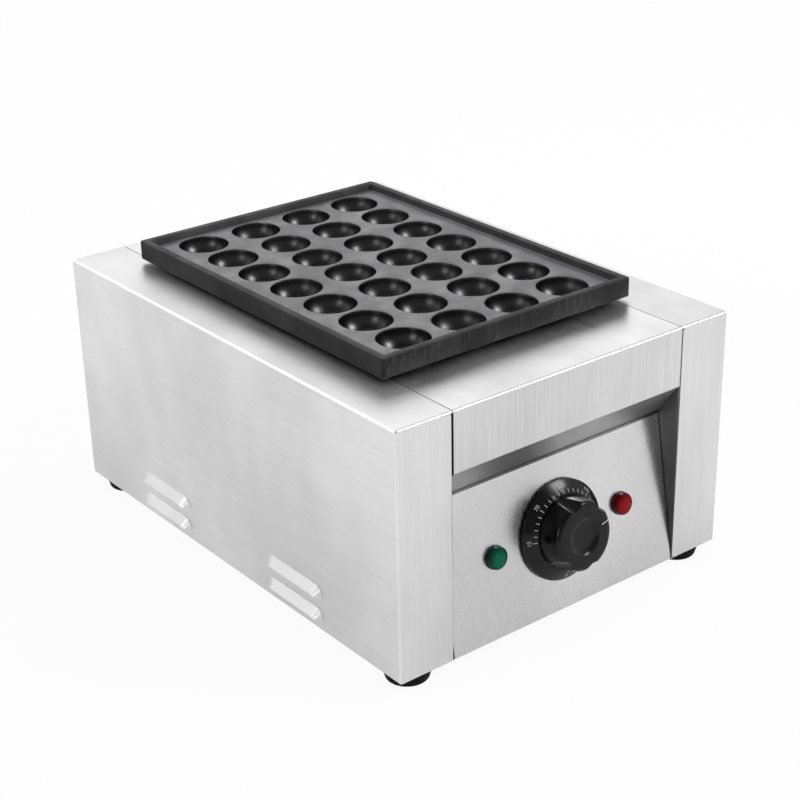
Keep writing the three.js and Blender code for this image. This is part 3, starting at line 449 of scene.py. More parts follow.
class Finishes:
    """Every finish of the object, built once."""

    def __init__(self) -> None:
        """Builds the materials."""
        along, upright = Grain.ALONG, Grain.UPRIGHT
        front = {"cloud": 0.055, "scratch": 0.0000022, "rough": 0.32}
        self.side_steel = BrushedSteel("steel_side", along, 0.76, scratch=0.000006).build()
        self.front_steel = BrushedSteel("steel_front", upright, 0.735, **front).build()
        # painted shade: a darker copy of the steel on the casings' upward top strips offsets the light from
        # above
        self.strip_steel_painted_shade = BrushedSteel("steel_strip", along, 0.60, 0.03, 0.000005, 0.40, 0.02).build()
        self.fascia_steel = BrushedSteel("steel_fascia", upright, 0.69, **front, streak=0.045).build()
        self.panel_steel = BrushedSteel("steel_panel", upright, 0.68, 0.055, 0.0000015, 0.25).build()
        # painted highlight: a near-white copy of the steel on the casing's outward top bend draws its bright
        # edge line
        self.side_bend_painted_highlight = BrushedSteel("steel_side_bend", along, 0.97, 0.02, rough=0.36).build()
        # painted shade: a darker, duller copy of the steel on the front top bends holds down their edge
        # highlight
        self.front_bend_painted_shade = BrushedSteel("steel_front_bend", along, 0.66, 0.02, rough=0.46).build()
        # painted shade: a dark copy of the steel on the undercut below the fascia, where the overhang shades
        # it
        self.undercut_painted_shade = BrushedSteel("steel_undercut", upright, 0.46, 0.03).build()
        # painted shade: a darker copy of the steel on the deck's upward faces offsets the light from above
        self.deck_steel_painted_shade = BrushedSteel("steel_deck", along, 0.58, 0.03, 0.0000022, 0.34, 0.02).build()
        # painted shade: a near-black copy of the steel on the inside of the casing returns and on the panel's
        # top lip, which lie in shade
        self.inner_painted_shade = BrushedSteel("steel_inner", upright, 0.15, rough=0.5).build()
        self.galvanised = MillSheet("galvanised_sheet", (0.62, 0.63, 0.64), depth=0.08).build()
        self.aluminised = MillSheet("aluminised_sheet", (0.56, 0.56, 0.55), 0.5, 420.0, 0.12, 8e-6).build()
        self.plated = MillSheet("plated_steel", (0.62, 0.62, 0.61), 0.38, 400.0, 0.08, 0.000003).build()
        self.sheath = MillSheet("element_sheath", (0.13, 0.125, 0.12), 0.55, 700.0).build()
        self.copper = MillSheet("copper_tube", (0.62, 0.33, 0.20), 0.36, 500.0).build()
        # painted sheen: the web's cast iron is five times lighter, standing in for its reflection of the
        # bright surroundings
        self.cast_web_painted_sheen = CastIron("cast_iron_web", shine=0.72, depth=5.0).build()
        # painted shade: the bowls' cast iron is near black, standing in for the dark inside them
        self.cast_bowl_painted_shade = CastIron("cast_iron_bowl", 0.23, 0.31, 0.00007, shine=0.62, depth=0.08).build()
        self.cast_side = CastIron("cast_iron_side", 0.42, 0.6, 0.00008, shine=0.22).build()
        self.cast_edge = CastIron("cast_iron_ground_edge", 0.42, 0.6, 0.00006, True, 0.22).build()
        self.knob = Moulding("knob_plastic", (0.0008, 0.0008, 0.0010), 0.17, 0.000003, 1700.0, 0.26).build()
        self.plastic = Moulding("black_plastic", (0.009, 0.009, 0.010), 0.42).build()
        self.rubber = Moulding("foot_rubber", (0.003, 0.003, 0.003), 0.62, 0.00004, 900.0, 0.1).build()
        self.ceramic = Moulding("terminal_ceramic", (0.70, 0.67, 0.60), 0.35, 0.00003, 500.0, 0.5).build()
        self.print = WhitePrint().build()


# ---------------------------------------------------------------- the bench


def clear_selection() -> None:
    """Leaves nothing selected, so that an operator acts on the new piece alone."""
    if bpy.context.object is not None and bpy.context.object.mode != "OBJECT":
        bpy.ops.object.mode_set(mode="OBJECT")
    bpy.ops.object.select_all(action="DESELECT")


def make_active(item: Item) -> None:
    """Selects one object alone and makes it the active one."""
    clear_selection()
    item.select_set(True)
    bpy.context.view_layer.objects.active = item


def arc(centre: Pair, radius: float, first: float, last: float, steps: int) -> list[Pair]:
    """Gives points on an arc of a profile.

    Args:
        centre: Its centre, as distance from the axis and height.
        radius: Its radius.
        first: The first point's angle in degrees, from straight out towards up.
        last: The last point's angle.
        steps: The number of steps.

    Returns:
        The points, both ends included.
    """
    angles = (math.radians(first + (last - first) * i / steps) for i in range(steps + 1))
    return [(centre[0] + radius * math.cos(a), centre[1] + radius * math.sin(a)) for a in angles]


class Bench:
    """One mesh on the bench, shaped in edit mode with Blender's own operators."""

    def __init__(self, name: str) -> None:
        """Takes up the object that a primitive operator has just added and opens it for editing."""
        self.item = bpy.context.object
        self.item.name = self.item.data.name = name
        bpy.ops.object.transform_apply(location=True, rotation=True, scale=True)
        bpy.ops.object.mode_set(mode="EDIT")
        bpy.ops.mesh.select_all(action="DESELECT")

    @classmethod
    def block(cls, name: str, low: Sequence[float], high: Sequence[float]) -> "Bench":
        """Starts from a block between two corners, in any order."""
        clear_selection()
        middle = [(a + b) / 2 for a, b in zip(low, high)]
        size = [abs(b - a) for a, b in zip(low, high)]
        bpy.ops.mesh.primitive_cube_add(size=1.0, location=middle, scale=size)
        return cls(name)

    @classmethod
    def turned(cls, name: str, profile: Pairs, sides: int, closed: bool = False) -> "Bench":
        """Starts from a circle and draws it out ring by ring about Z.

        Args:
            name: The piece's name.
            profile: Distances from the axis and heights, from the axis to the axis, or closing on itself.
            sides: The number of sides.
            closed: Whether the last ring joins the first.

        Returns:
            The bench with the turned mesh open.
        """
        clear_selection()
        rings = [(r, z) for r, z in profile if r > 0.0]
        radius, height = rings[0]
        bpy.ops.mesh.primitive_circle_add(vertices=sides, radius=radius, location=(0.0, 0.0, height))
        bench = cls(name)
        bpy.ops.mesh.select_all(action="SELECT")
        bpy.ops.mesh.select_mode(type="EDGE")
        if not closed:
            bench.close_pole(profile[0][1])
        for (r0, z0), (r1, z1) in zip(rings, rings[1:]):
            bench.draw_out((0.0, 0.0, z1 - z0), (r1 / r0, r1 / r0, 1.0), (0.0, 0.0, z1))
        if closed:
            radius, height = rings[0][0] / rings[-1][0], rings[0][1] - rings[-1][1]
            bench.draw_out((0.0, 0.0, height), (radius, radius, 1.0), (0.0, 0.0, rings[0][1]))
        else:
            bench.close_pole(profile[-1][1])
        bench.clean()
        return bench

    @classmethod
    def folded(cls, name: str, half: float, line: Pairs, bend: float, sheet: float) -> "Bench":
        """Folds a strip of sheet along a line drawn in Y and Z, with the metal to the left of the line.

        Args:
            name: The piece's name.
            half: Half its width along X.
            line: The visible face's corners.
            bend: The radius inside a bend.
            sheet: The sheet's thickness.

        Returns:
            The bench with the folded sheet open.
        """
        clear_selection()
        (y0, z0), (y1, z1) = line[0], line[1]
        bpy.ops.mesh.primitive_plane_add(
            size=1.0,
            location=(0.0, (y0 + y1) / 2, (z0 + z1) / 2),
            rotation=(math.atan2(z1 - z0, y1 - y0), 0.0, 0.0),
        )
        bpy.context.object.scale = (2 * half, math.hypot(y1 - y0, z1 - z0), 1.0)
        bench = cls(name)
        for (ya, za), (yb, zb) in zip(line[1:], line[2:]):
            bench.pick_edges(lambda a, b: is_at(a, ya, za) and is_at(b, ya, za))
            bench.draw_out((0.0, yb - ya, zb - za))
        for before, corner, after in zip(line, line[1:], line[2:]):
            first = math.atan2(corner[1] - before[1], corner[0] - before[0])
            second = math.atan2(after[1] - corner[1], after[0] - corner[0])
            turn = math.remainder(second - first, 2 * math.pi)
            reach = (bend + (sheet if turn > 0 else 0.0)) * math.tan(abs(turn) / 2)
            bench.pick_edges(lambda a, b: is_at(a, *corner) and is_at(b, *corner))
            bpy.ops.mesh.bevel(offset=reach, segments=BEND_STEPS, profile=0.5)
        bench.close()
        bench.modify("SOLIDIFY", thickness=sheet, offset=1.0, use_even_offset=True)
        return bench

    def open(self) -> None:
        """Opens the mesh for editing, with nothing selected."""
        make_active(self.item)
        bpy.ops.object.mode_set(mode="EDIT")
        bpy.ops.mesh.select_all(action="DESELECT")

    def close(self) -> None:
        """Ends editing."""
        bpy.ops.object.mode_set(mode="OBJECT")

    def pick_faces(self, test: Test) -> None:
        """Selects the faces whose middle and normal pass a test."""
        bpy.ops.mesh.select_mode(type="FACE")
        bpy.ops.mesh.select_all(action="DESELECT")
        mesh = bmesh.from_edit_mesh(self.item.data)
        mesh.normal_update()
        for face in mesh.faces:
            if test(face.calc_center_median(), face.normal):
                face.select_set(True)
        mesh.select_flush_mode()
        bmesh.update_edit_mesh(self.item.data)

    def pick_edges(self, test: Test) -> None:
        """Selects the edges whose two ends pass a test."""
        bpy.ops.mesh.select_mode(type="EDGE")
        bpy.ops.mesh.select_all(action="DESELECT")
        mesh = bmesh.from_edit_mesh(self.item.data)
        for edge in mesh.edges:
            if test(edge.verts[0].co, edge.verts[1].co):
                edge.select_set(True)
        mesh.select_flush_mode()
        bmesh.update_edit_mesh(self.item.data)

    def draw_out(self, move: Point, scale: Point = (1.0, 1.0, 1.0), centre: Point = (0.0, 0.0, 0.0)) -> None:
        """Extrudes what is selected by a move, then scales it about a centre."""
        bpy.ops.mesh.extrude_region_move(TRANSFORM_OT_translate={"value": move})
        if scale != (1.0, 1.0, 1.0):
            bpy.ops.transform.resize(value=scale, center_override=centre)

    def close_pole(self, height: float) -> None:
        """Closes the selected ring: flat where it lies at that height, otherwise in a cone to the axis."""
        mesh = bmesh.from_edit_mesh(self.item.data)
        level = max(v.co.z for v in mesh.verts if v.select)
        if abs(level - height) < 1e-7:
            bpy.ops.mesh.edge_face_add()
            bpy.ops.mesh.select_mode(type="EDGE")
        else:
            self.draw_out((0.0, 0.0, height - level))
            bpy.ops.mesh.merge(type="CENTER")

    def clean(self) -> None:
        """Welds doubles and turns all faces outwards."""
        bpy.ops.mesh.select_all(action="SELECT")
        bpy.ops.mesh.remove_doubles(threshold=1e-6)
        bpy.ops.mesh.normals_make_consistent(inside=False)

    def modify(self, kind: str, **settings: object) -> None:
        """Adds a modifier with these settings and applies it."""
        make_active(self.item)
        modifier = self.item.modifiers.new(kind.lower(), kind)
        for key, value in settings.items():
            setattr(modifier, key, value)
        bpy.ops.object.modifier_apply(modifier=modifier.name)

    def carve(self, tool: Item, operation: str = "DIFFERENCE") -> None:
        """Cuts the piece with a tool, or joins the tool to it, and takes the tool away."""
        self.modify("BOOLEAN", object=tool, operation=operation, solver="EXACT")
        bpy.data.objects.remove(tool)

    def copy_at(self, places: Iterable[Matrix], name: str) -> list[Item]:
        """Copies the mesh to each place, the place in the mesh, and takes the first one away."""
        made = []
        for number, place in enumerate(places, 1):
            twin = bpy.data.objects.new(f"{name}_{number}", self.item.data.copy())
            bpy.context.scene.collection.objects.link(twin)
            twin.data.transform(place)
            if place.determinant() < 0:
                twin.data.flip_normals()
            made.append(twin)
        bpy.data.objects.remove(self.item)
        return made

    def smooth(self, angle: float = 30.0, weigh: bool = False) -> None:
        """Shades smooth across edges under an angle, with flat faces kept flat if weighed."""
        make_active(self.item)
        bpy.ops.object.shade_smooth_by_angle(angle=math.radians(angle))
        if weigh:
            self.modify("WEIGHTED_NORMAL", keep_sharp=True, weight=100)

    def paint(self, *layers: tuple[bpy.types.Material, Test]) -> None:
        """Gives each face the last material whose test its middle and normal pass."""
        mesh = self.item.data
        mesh.materials.clear()
        for material, _ in layers:
            mesh.materials.append(material)
        for face in mesh.polygons:
            for index, (_, test) in enumerate(layers):
                if test(face.center, face.normal):
                    face.material_index = index

    def coat(self, material: bpy.types.Material, angle: float) -> None:
        """Ends editing, gives the whole piece one finish and shades it smooth under an angle."""
        self.close()
        self.paint((material, everywhere))
        self.smooth(angle)

    def hand_over(self, body: Body, slot: str, *nodes: str) -> None:
        """Lets the piece ride on its body and stand for its nodes."""
        hand_over(self.item, body, slot, *nodes)


def is_at(point: Vector, y: float, z: float) -> bool:
    """Tells whether a point lies at this Y and Z."""
    return abs(point.y - y) < TOUCH and abs(point.z - z) < TOUCH


def in_bend(middle: Vector, normal: Vector, top: float) -> bool:
    """Tells whether a face belongs to the bend along a sheet's top, where painted highlight and painted shade
    go.
    """
    return middle.z > top - BEND_ZONE and normal.z > 0.2


def everywhere(_middle: Vector, _normal: Vector) -> bool:
    """Passes every face."""
    return True


def joined(items: Sequence[Item], name: str) -> Item:
    """Joins several objects into one mesh."""
    make_active(items[0])
    for item in items[1:]:
        item.select_set(True)
    bpy.ops.object.join()
    items[0].name = items[0].data.name = name
    return items[0]


def hand_over(item: Item, body: Body, slot: str, *nodes: str) -> None:
    """Rides a piece on a body, hides the nodes that it stands for, and reports it."""
    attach(item, body.value)
    if nodes:
        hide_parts(*nodes)
    LOG.info("%s rides on %s, %d faces", item.name, body.value, len(item.data.polygons))


def dress(node: str, material: bpy.types.Material) -> None:
    """Gives a carried-over node a finish."""
    item = frame["nodes"][node]
    if not item.material_slots:
        item.data.materials.append(material)
    for slot in item.material_slots:
        slot.material = material
    LOG.info("%s keeps its form, finish %s", node, material.name)


def panel_place() -> Matrix:
    """Gives the dial's place on the sloping panel: +Z out of the panel, +Y up along it."""
    joint = next(j for j in frame["joints"] if j["name"] == "dial_turn")
    out = -Vector(joint["axis"]).normalized()
    across = Vector((1.0, 0.0, 0.0))
    up = out.cross(across)
    turn = Matrix((across, up, out)).transposed().to_4x4()
    return Matrix.Translation(Vector(joint["pos_m"])) @ turn


# ---------------------------------------------------------------- cabinet


@dataclass
class SideCasing:
    """One side of the cabinet: a folded sheet with a return at the front and four pressed louvres."""

    side: Side
    finishes: Finishes
    half_width: float = 0.144
    sheet: float = 0.0012
    bend: float = 0.0019
    return_depth: float = 0.027
    relief: float = 0.0004
    louvre_length: float = 0.062
    louvre_height: float = 0.009
    louvre_reach: float = 0.0046
    louvre_taper: float = 0.004
    louvre_slope: float = 0.0070
    louvre_corner: float = 0.0060
    louvre_steps: Pairs = (
        (0.02, 0.05), (0.06, 0.10), (0.50, 0.52), (0.93, 0.92), (0.985, 0.965), (1.0, 1.0),
    )
    louvre_inset: float = 0.114
    louvre_low: float = 0.008
    louvre_pitch: float = 0.0175
    louvre_root: float = 0.0002
    hollow_depth: float = 0.005
    # depth of the top strip that gets painted shade
    strip_painted_shade_zone: float = 0.001

    @property
    def node(self) -> str:
        """Gives the name of the node that the casing stands for."""
        return f"side_casing_{self.side.name.lower()}"

    def fold(self) -> Bench:
        """Folds the side, its strips and flanges, and the front flange's return."""
        low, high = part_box(self.node)
        s = self.side.value
        inner = min(abs(low.x), abs(high.x))
        y0, y1, z0, z1 = low.y, high.y, low.z, high.z
        name = f"casing_{self.side.name.lower()}"
        bench = Bench.block(name, (s * inner, y0, z0), (s * self.half_width, y1, z1))
        bench.pick_faces(lambda c, n: n.x * s < -0.9)
        bpy.ops.mesh.delete(type="ONLY_FACE")
        bench.pick_edges(lambda a, b: abs(a.x) + abs(b.x) > 2 * inner + 1e-4)
        bpy.ops.mesh.bevel(offset=self.bend, segments=BEND_STEPS, profile=0.5)
        fold_low, fold_high = z0 + self.bend + self.relief, z1 - self.bend - self.relief
        cuts = [
            ((0, 0, fold_low), (0, 0, 1)),
            ((0, 0, fold_high), (0, 0, 1)),
            ((s * (inner + self.bend), 0, 0), (1, 0, 0)),
        ]
        for place, normal in cuts:
            bench.pick_faces(lambda c, n: n.y < -0.99)
            bpy.ops.mesh.bisect(plane_co=place, plane_no=normal)
        bench.pick_faces(
            lambda c, n: n.y < -0.99 and abs(c.x) < inner + self.bend and not fold_low < c.z < fold_high
        )
        bpy.ops.mesh.delete(type="FACE")

        def on_fold(point: Vector) -> bool:
            """Tells whether a point lies on the flange's inner edge."""
            on_flange = abs(abs(point.x) - inner) < TOUCH and abs(point.y - y0) < TOUCH
            return on_flange and fold_low - TOUCH < point.z < fold_high + TOUCH

        bench.pick_edges(lambda a, b: on_fold(a) and on_fold(b))
        bench.draw_out((0.0, self.return_depth, 0.0))
        bench.pick_edges(lambda a, b: on_fold(a) and on_fold(b))
        bpy.ops.mesh.bevel(offset=self.bend, segments=BEND_STEPS, profile=0.5)
        bpy.ops.mesh.select_all(action="SELECT")
        bpy.ops.mesh.normals_make_consistent(inside=False)
        mesh = bmesh.from_edit_mesh(bench.item.data)
        mesh.normal_update()
        widest = max(mesh.faces, key=lambda face: face.calc_area())
        if widest.normal.x * s < 0:
            bpy.ops.mesh.flip_normals()
        bench.close()
        bench.modify("SOLIDIFY", thickness=self.sheet, offset=-1.0, use_even_offset=True)
        return bench

    def hood(self, y: float, z: float, hollow: bool) -> Item:
        """Shapes one louvre, or the hollow under it.

        Args:
            y: The middle of its length.
            z: Its open lower edge.
            hollow: Whether this is the hollow.

        Returns:
            The solid to join or to cut with.
        """
        s = self.side.value
        wall = self.sheet if hollow else 0.0
        half, high = self.louvre_length / 2 - wall, self.louvre_height - wall
        start = self.half_width - (self.hollow_depth if hollow else self.sheet / 2)
        base = self.half_width + self.louvre_root
        bench = Bench.block("hood", (s * start, y - half, z), (s * base, y + half, z + high))
        bench.pick_edges(lambda a, b: min(a.z, b.z) > z + TOUCH and abs(a.y - b.y) < TOUCH)
        bpy.ops.mesh.bevel(offset=self.louvre_corner - wall / 2, segments=BEND_STEPS, profile=0.5)
        bench.pick_faces(lambda c, n: n.x * s > 0.9)
        reach = self.louvre_reach - wall - (base - self.half_width)
        done = (0.0, half, high)
        for out, share in self.louvre_steps:
            now = (out * reach, half - self.louvre_taper * share, high - self.louvre_slope * share)
            shrink = (1.0, now[1] / done[1], now[2] / done[2])
            bench.draw_out((s * (now[0] - done[0]), 0.0, 0.0), shrink, (0.0, y, z))
            done = now
        bench.clean()
        bench.close()
        return bench.item

    def build(self) -> None:
        """Makes the casing, presses its louvres and dresses it."""
        bench = self.fold()
        low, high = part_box(self.node)
        s, front = self.side.value, low.y + self.return_depth + 1e-4
        middles = (low.y + self.louvre_inset, high.y - self.louvre_inset)
        places = [(y, low.z + self.louvre_low + row * self.louvre_pitch) for y in middles for row in (0, 1)]
        bench.carve(joined([self.hood(y, z, False) for y, z in places], "hoods"), "UNION")
        bench.carve(joined([self.hood(y, z, True) for y, z in places], "hollows"))
        bench.paint(
            (self.finishes.side_steel, everywhere),
            (self.finishes.front_steel, lambda c, n: c.y < front and abs(n.y) > 0.5),
            # painted shade on the inside of the front return
            (self.finishes.inner_painted_shade, lambda c, n: c.y < front and n.x * s < -0.6),
            # painted shade on the upward top strip
            (self.finishes.strip_steel_painted_shade, lambda c, n: n.z > 0.7 and c.z > high.z - self.strip_painted_shade_zone),
            # painted highlight on the outward part of the top bend
            (self.finishes.side_bend_painted_highlight, lambda c, n: in_bend(c, n, high.z) and n.z < 0.98 and n.x * s > 0.15),
            # painted shade on the front part of the top bend
            (self.finishes.front_bend_painted_shade, lambda c, n: in_bend(c, n, high.z) and n.y < -0.2),
        )
        bench.smooth(35.0, True)
        bench.hand_over(Body.CABINET, "steel", self.node)


@dataclass
class MiddleSheets:
    """The deck with its fascia and undercut, and the sloping control panel."""

    finishes: Finishes
    sheet: float = 0.0012
    bend: float = 0.0007
    apron: float = 0.022
    fascia: float = 0.043
    recess: float = 0.019
    undercut: float = 0.068
    tongue: float = 0.012
    panel_foot: float = 0.016
    opening_width: float = 0.184
    opening_depth: float = 0.276
    opening_corner: float = 0.010
    opening_cut: float = 0.01
    drill_length: float = 0.02
    # height of the panel's top lip that gets painted shade
    tongue_painted_shade_zone: float = 0.0022
    panel_holes: tuple[Point, ...] = (
        (0.0, 0.0, 0.0058),
        (-0.057, -0.0005, 0.0067),
        (0.057, -0.0005, 0.0067),
        (-0.016, 0.0, 0.0023),
        (0.016, 0.0, 0.0023),
    )

    def deck(self) -> None:
        """Folds the deck sheet and cuts the opening under the plate."""
        low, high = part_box("deck_shell")
        front, rear, top = low.y, high.y, high.z
        line = [
            (rear, top - self.apron),
            (rear, top),
            (front, top),
            (front, top - self.fascia),
            (front + self.recess, top - self.undercut),
            (front + self.recess + self.tongue, top - self.undercut),
        ]
        bench = Bench.folded("deck_sheet", high.x, line, self.bend, self.sheet)
        plate_low, plate_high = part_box("takoyaki_plate")
        middle = (plate_low.y + plate_high.y) / 2
        cutter = Bench.block(
            "opening",
            (-self.opening_width / 2, middle - self.opening_depth / 2, top - self.opening_cut),
            (self.opening_width / 2, middle + self.opening_depth / 2, top + self.opening_cut),
        )
        cutter.pick_edges(lambda a, b: abs(a.z - b.z) > self.opening_cut)
        bpy.ops.mesh.bevel(offset=self.opening_corner, segments=BEND_STEPS, profile=0.5)
        cutter.close()
        bench.carve(cutter.item)
        bench.paint(
            (self.finishes.fascia_steel, everywhere),
            # painted shade on the undercut below the fascia
            (self.finishes.undercut_painted_shade, lambda c, n: c.y < 0.0 and c.z < top - self.fascia - 0.0005),
            # painted shade on the deck's upward faces
            (self.finishes.deck_steel_painted_shade, lambda c, n: n.z > 0.8 and c.z > top - self.apron),
            # painted shade on the fascia's top bend
            (self.finishes.front_bend_painted_shade, lambda c, n: in_bend(c, n, top) and n.y < -0.2),
        )
        bench.smooth(35.0, True)
        bench.hand_over(Body.CABINET, "steel", "deck_shell")

    def panel(self) -> None:
        """Folds the control panel and drills it for the dial, the lamps and the thermostat's screws."""
        low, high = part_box("control_panel")
        deck_low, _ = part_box("deck_shell")
        top_y = deck_low.y + self.recess
        line = [
            (top_y + self.tongue, high.z),
            (top_y, high.z),
            (deck_low.y, low.z),
            (deck_low.y + self.panel_foot, low.z),
        ]
        bench = Bench.folded("panel_sheet", high.x, line, self.bend, self.sheet)
        place = panel_place()
        drills = []
        for x, up, radius in self.panel_holes:
            clear_selection()
            bpy.ops.mesh.primitive_cylinder_add(vertices=32, radius=radius, depth=self.drill_length)
            drill = bpy.context.object
            drill.data.transform(place @ Matrix.Translation((x, up, 0.0)))
            drills.append(drill)
        bench.carve(joined(drills, "drills"))
        bench.paint(
            (self.finishes.panel_steel, everywhere),
            # painted shade on the panel's top lip under the fascia
            (self.finishes.inner_painted_shade, lambda c, n: c.z > high.z - self.tongue_painted_shade_zone),
        )
        bench.smooth(35.0, True)
        bench.hand_over(Body.CABINET, "steel", "control_panel")

    def build(self) -> None:
        """Makes both sheets."""
        self.deck()
        self.panel()


@dataclass
class RubberFeet:
    """Four turned rubber feet with a well for the screw."""

    finishes: Finishes
    radius: float = 0.017
    sole: float = 0.015
    edge: float = 0.0025
    well: float = 0.0065
    well_depth: float = 0.005
    hole: float = 0.0023
    well_round: float = 0.0005
    well_ease: float = 0.0004
    shoulder: float = 0.0008

    def build(self) -> None:
        """Turns one foot and copies it under each corner."""
        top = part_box("foot_front_left")[1].z
        profile = [
            (self.hole, self.well_depth),
            *arc((self.well - self.well_round, self.well_depth - self.well_round), self.well_round, 90, 0, 3),
            (self.well, self.well_ease),
            (self.well + self.well_ease, 0.0),
            *arc((self.sole - self.edge, self.edge), self.edge, -90, 0, 6),
            *arc((self.radius - self.shoulder, top - self.shoulder), self.shoulder, 0, 90, 4),
            (self.hole, top),
        ]
        bench = Bench.turned("foot", profile, 64, closed=True)
        bench.coat(self.finishes.rubber, 40.0)
        nodes = [f"foot_{along}_{across}" for across in ("left", "right") for along in ("front", "rear")]
        middles = [(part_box(node)[0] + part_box(node)[1]) / 2 for node in nodes]
        places = [Matrix.Translation((m.x, m.y, 0.0)) for m in middles]
        for item, node in zip(bench.copy_at(places, "rubber_foot"), nodes):
            hand_over(item, Body.CABINET, "rubber", node)


# ---------------------------------------------------------------- cast plate


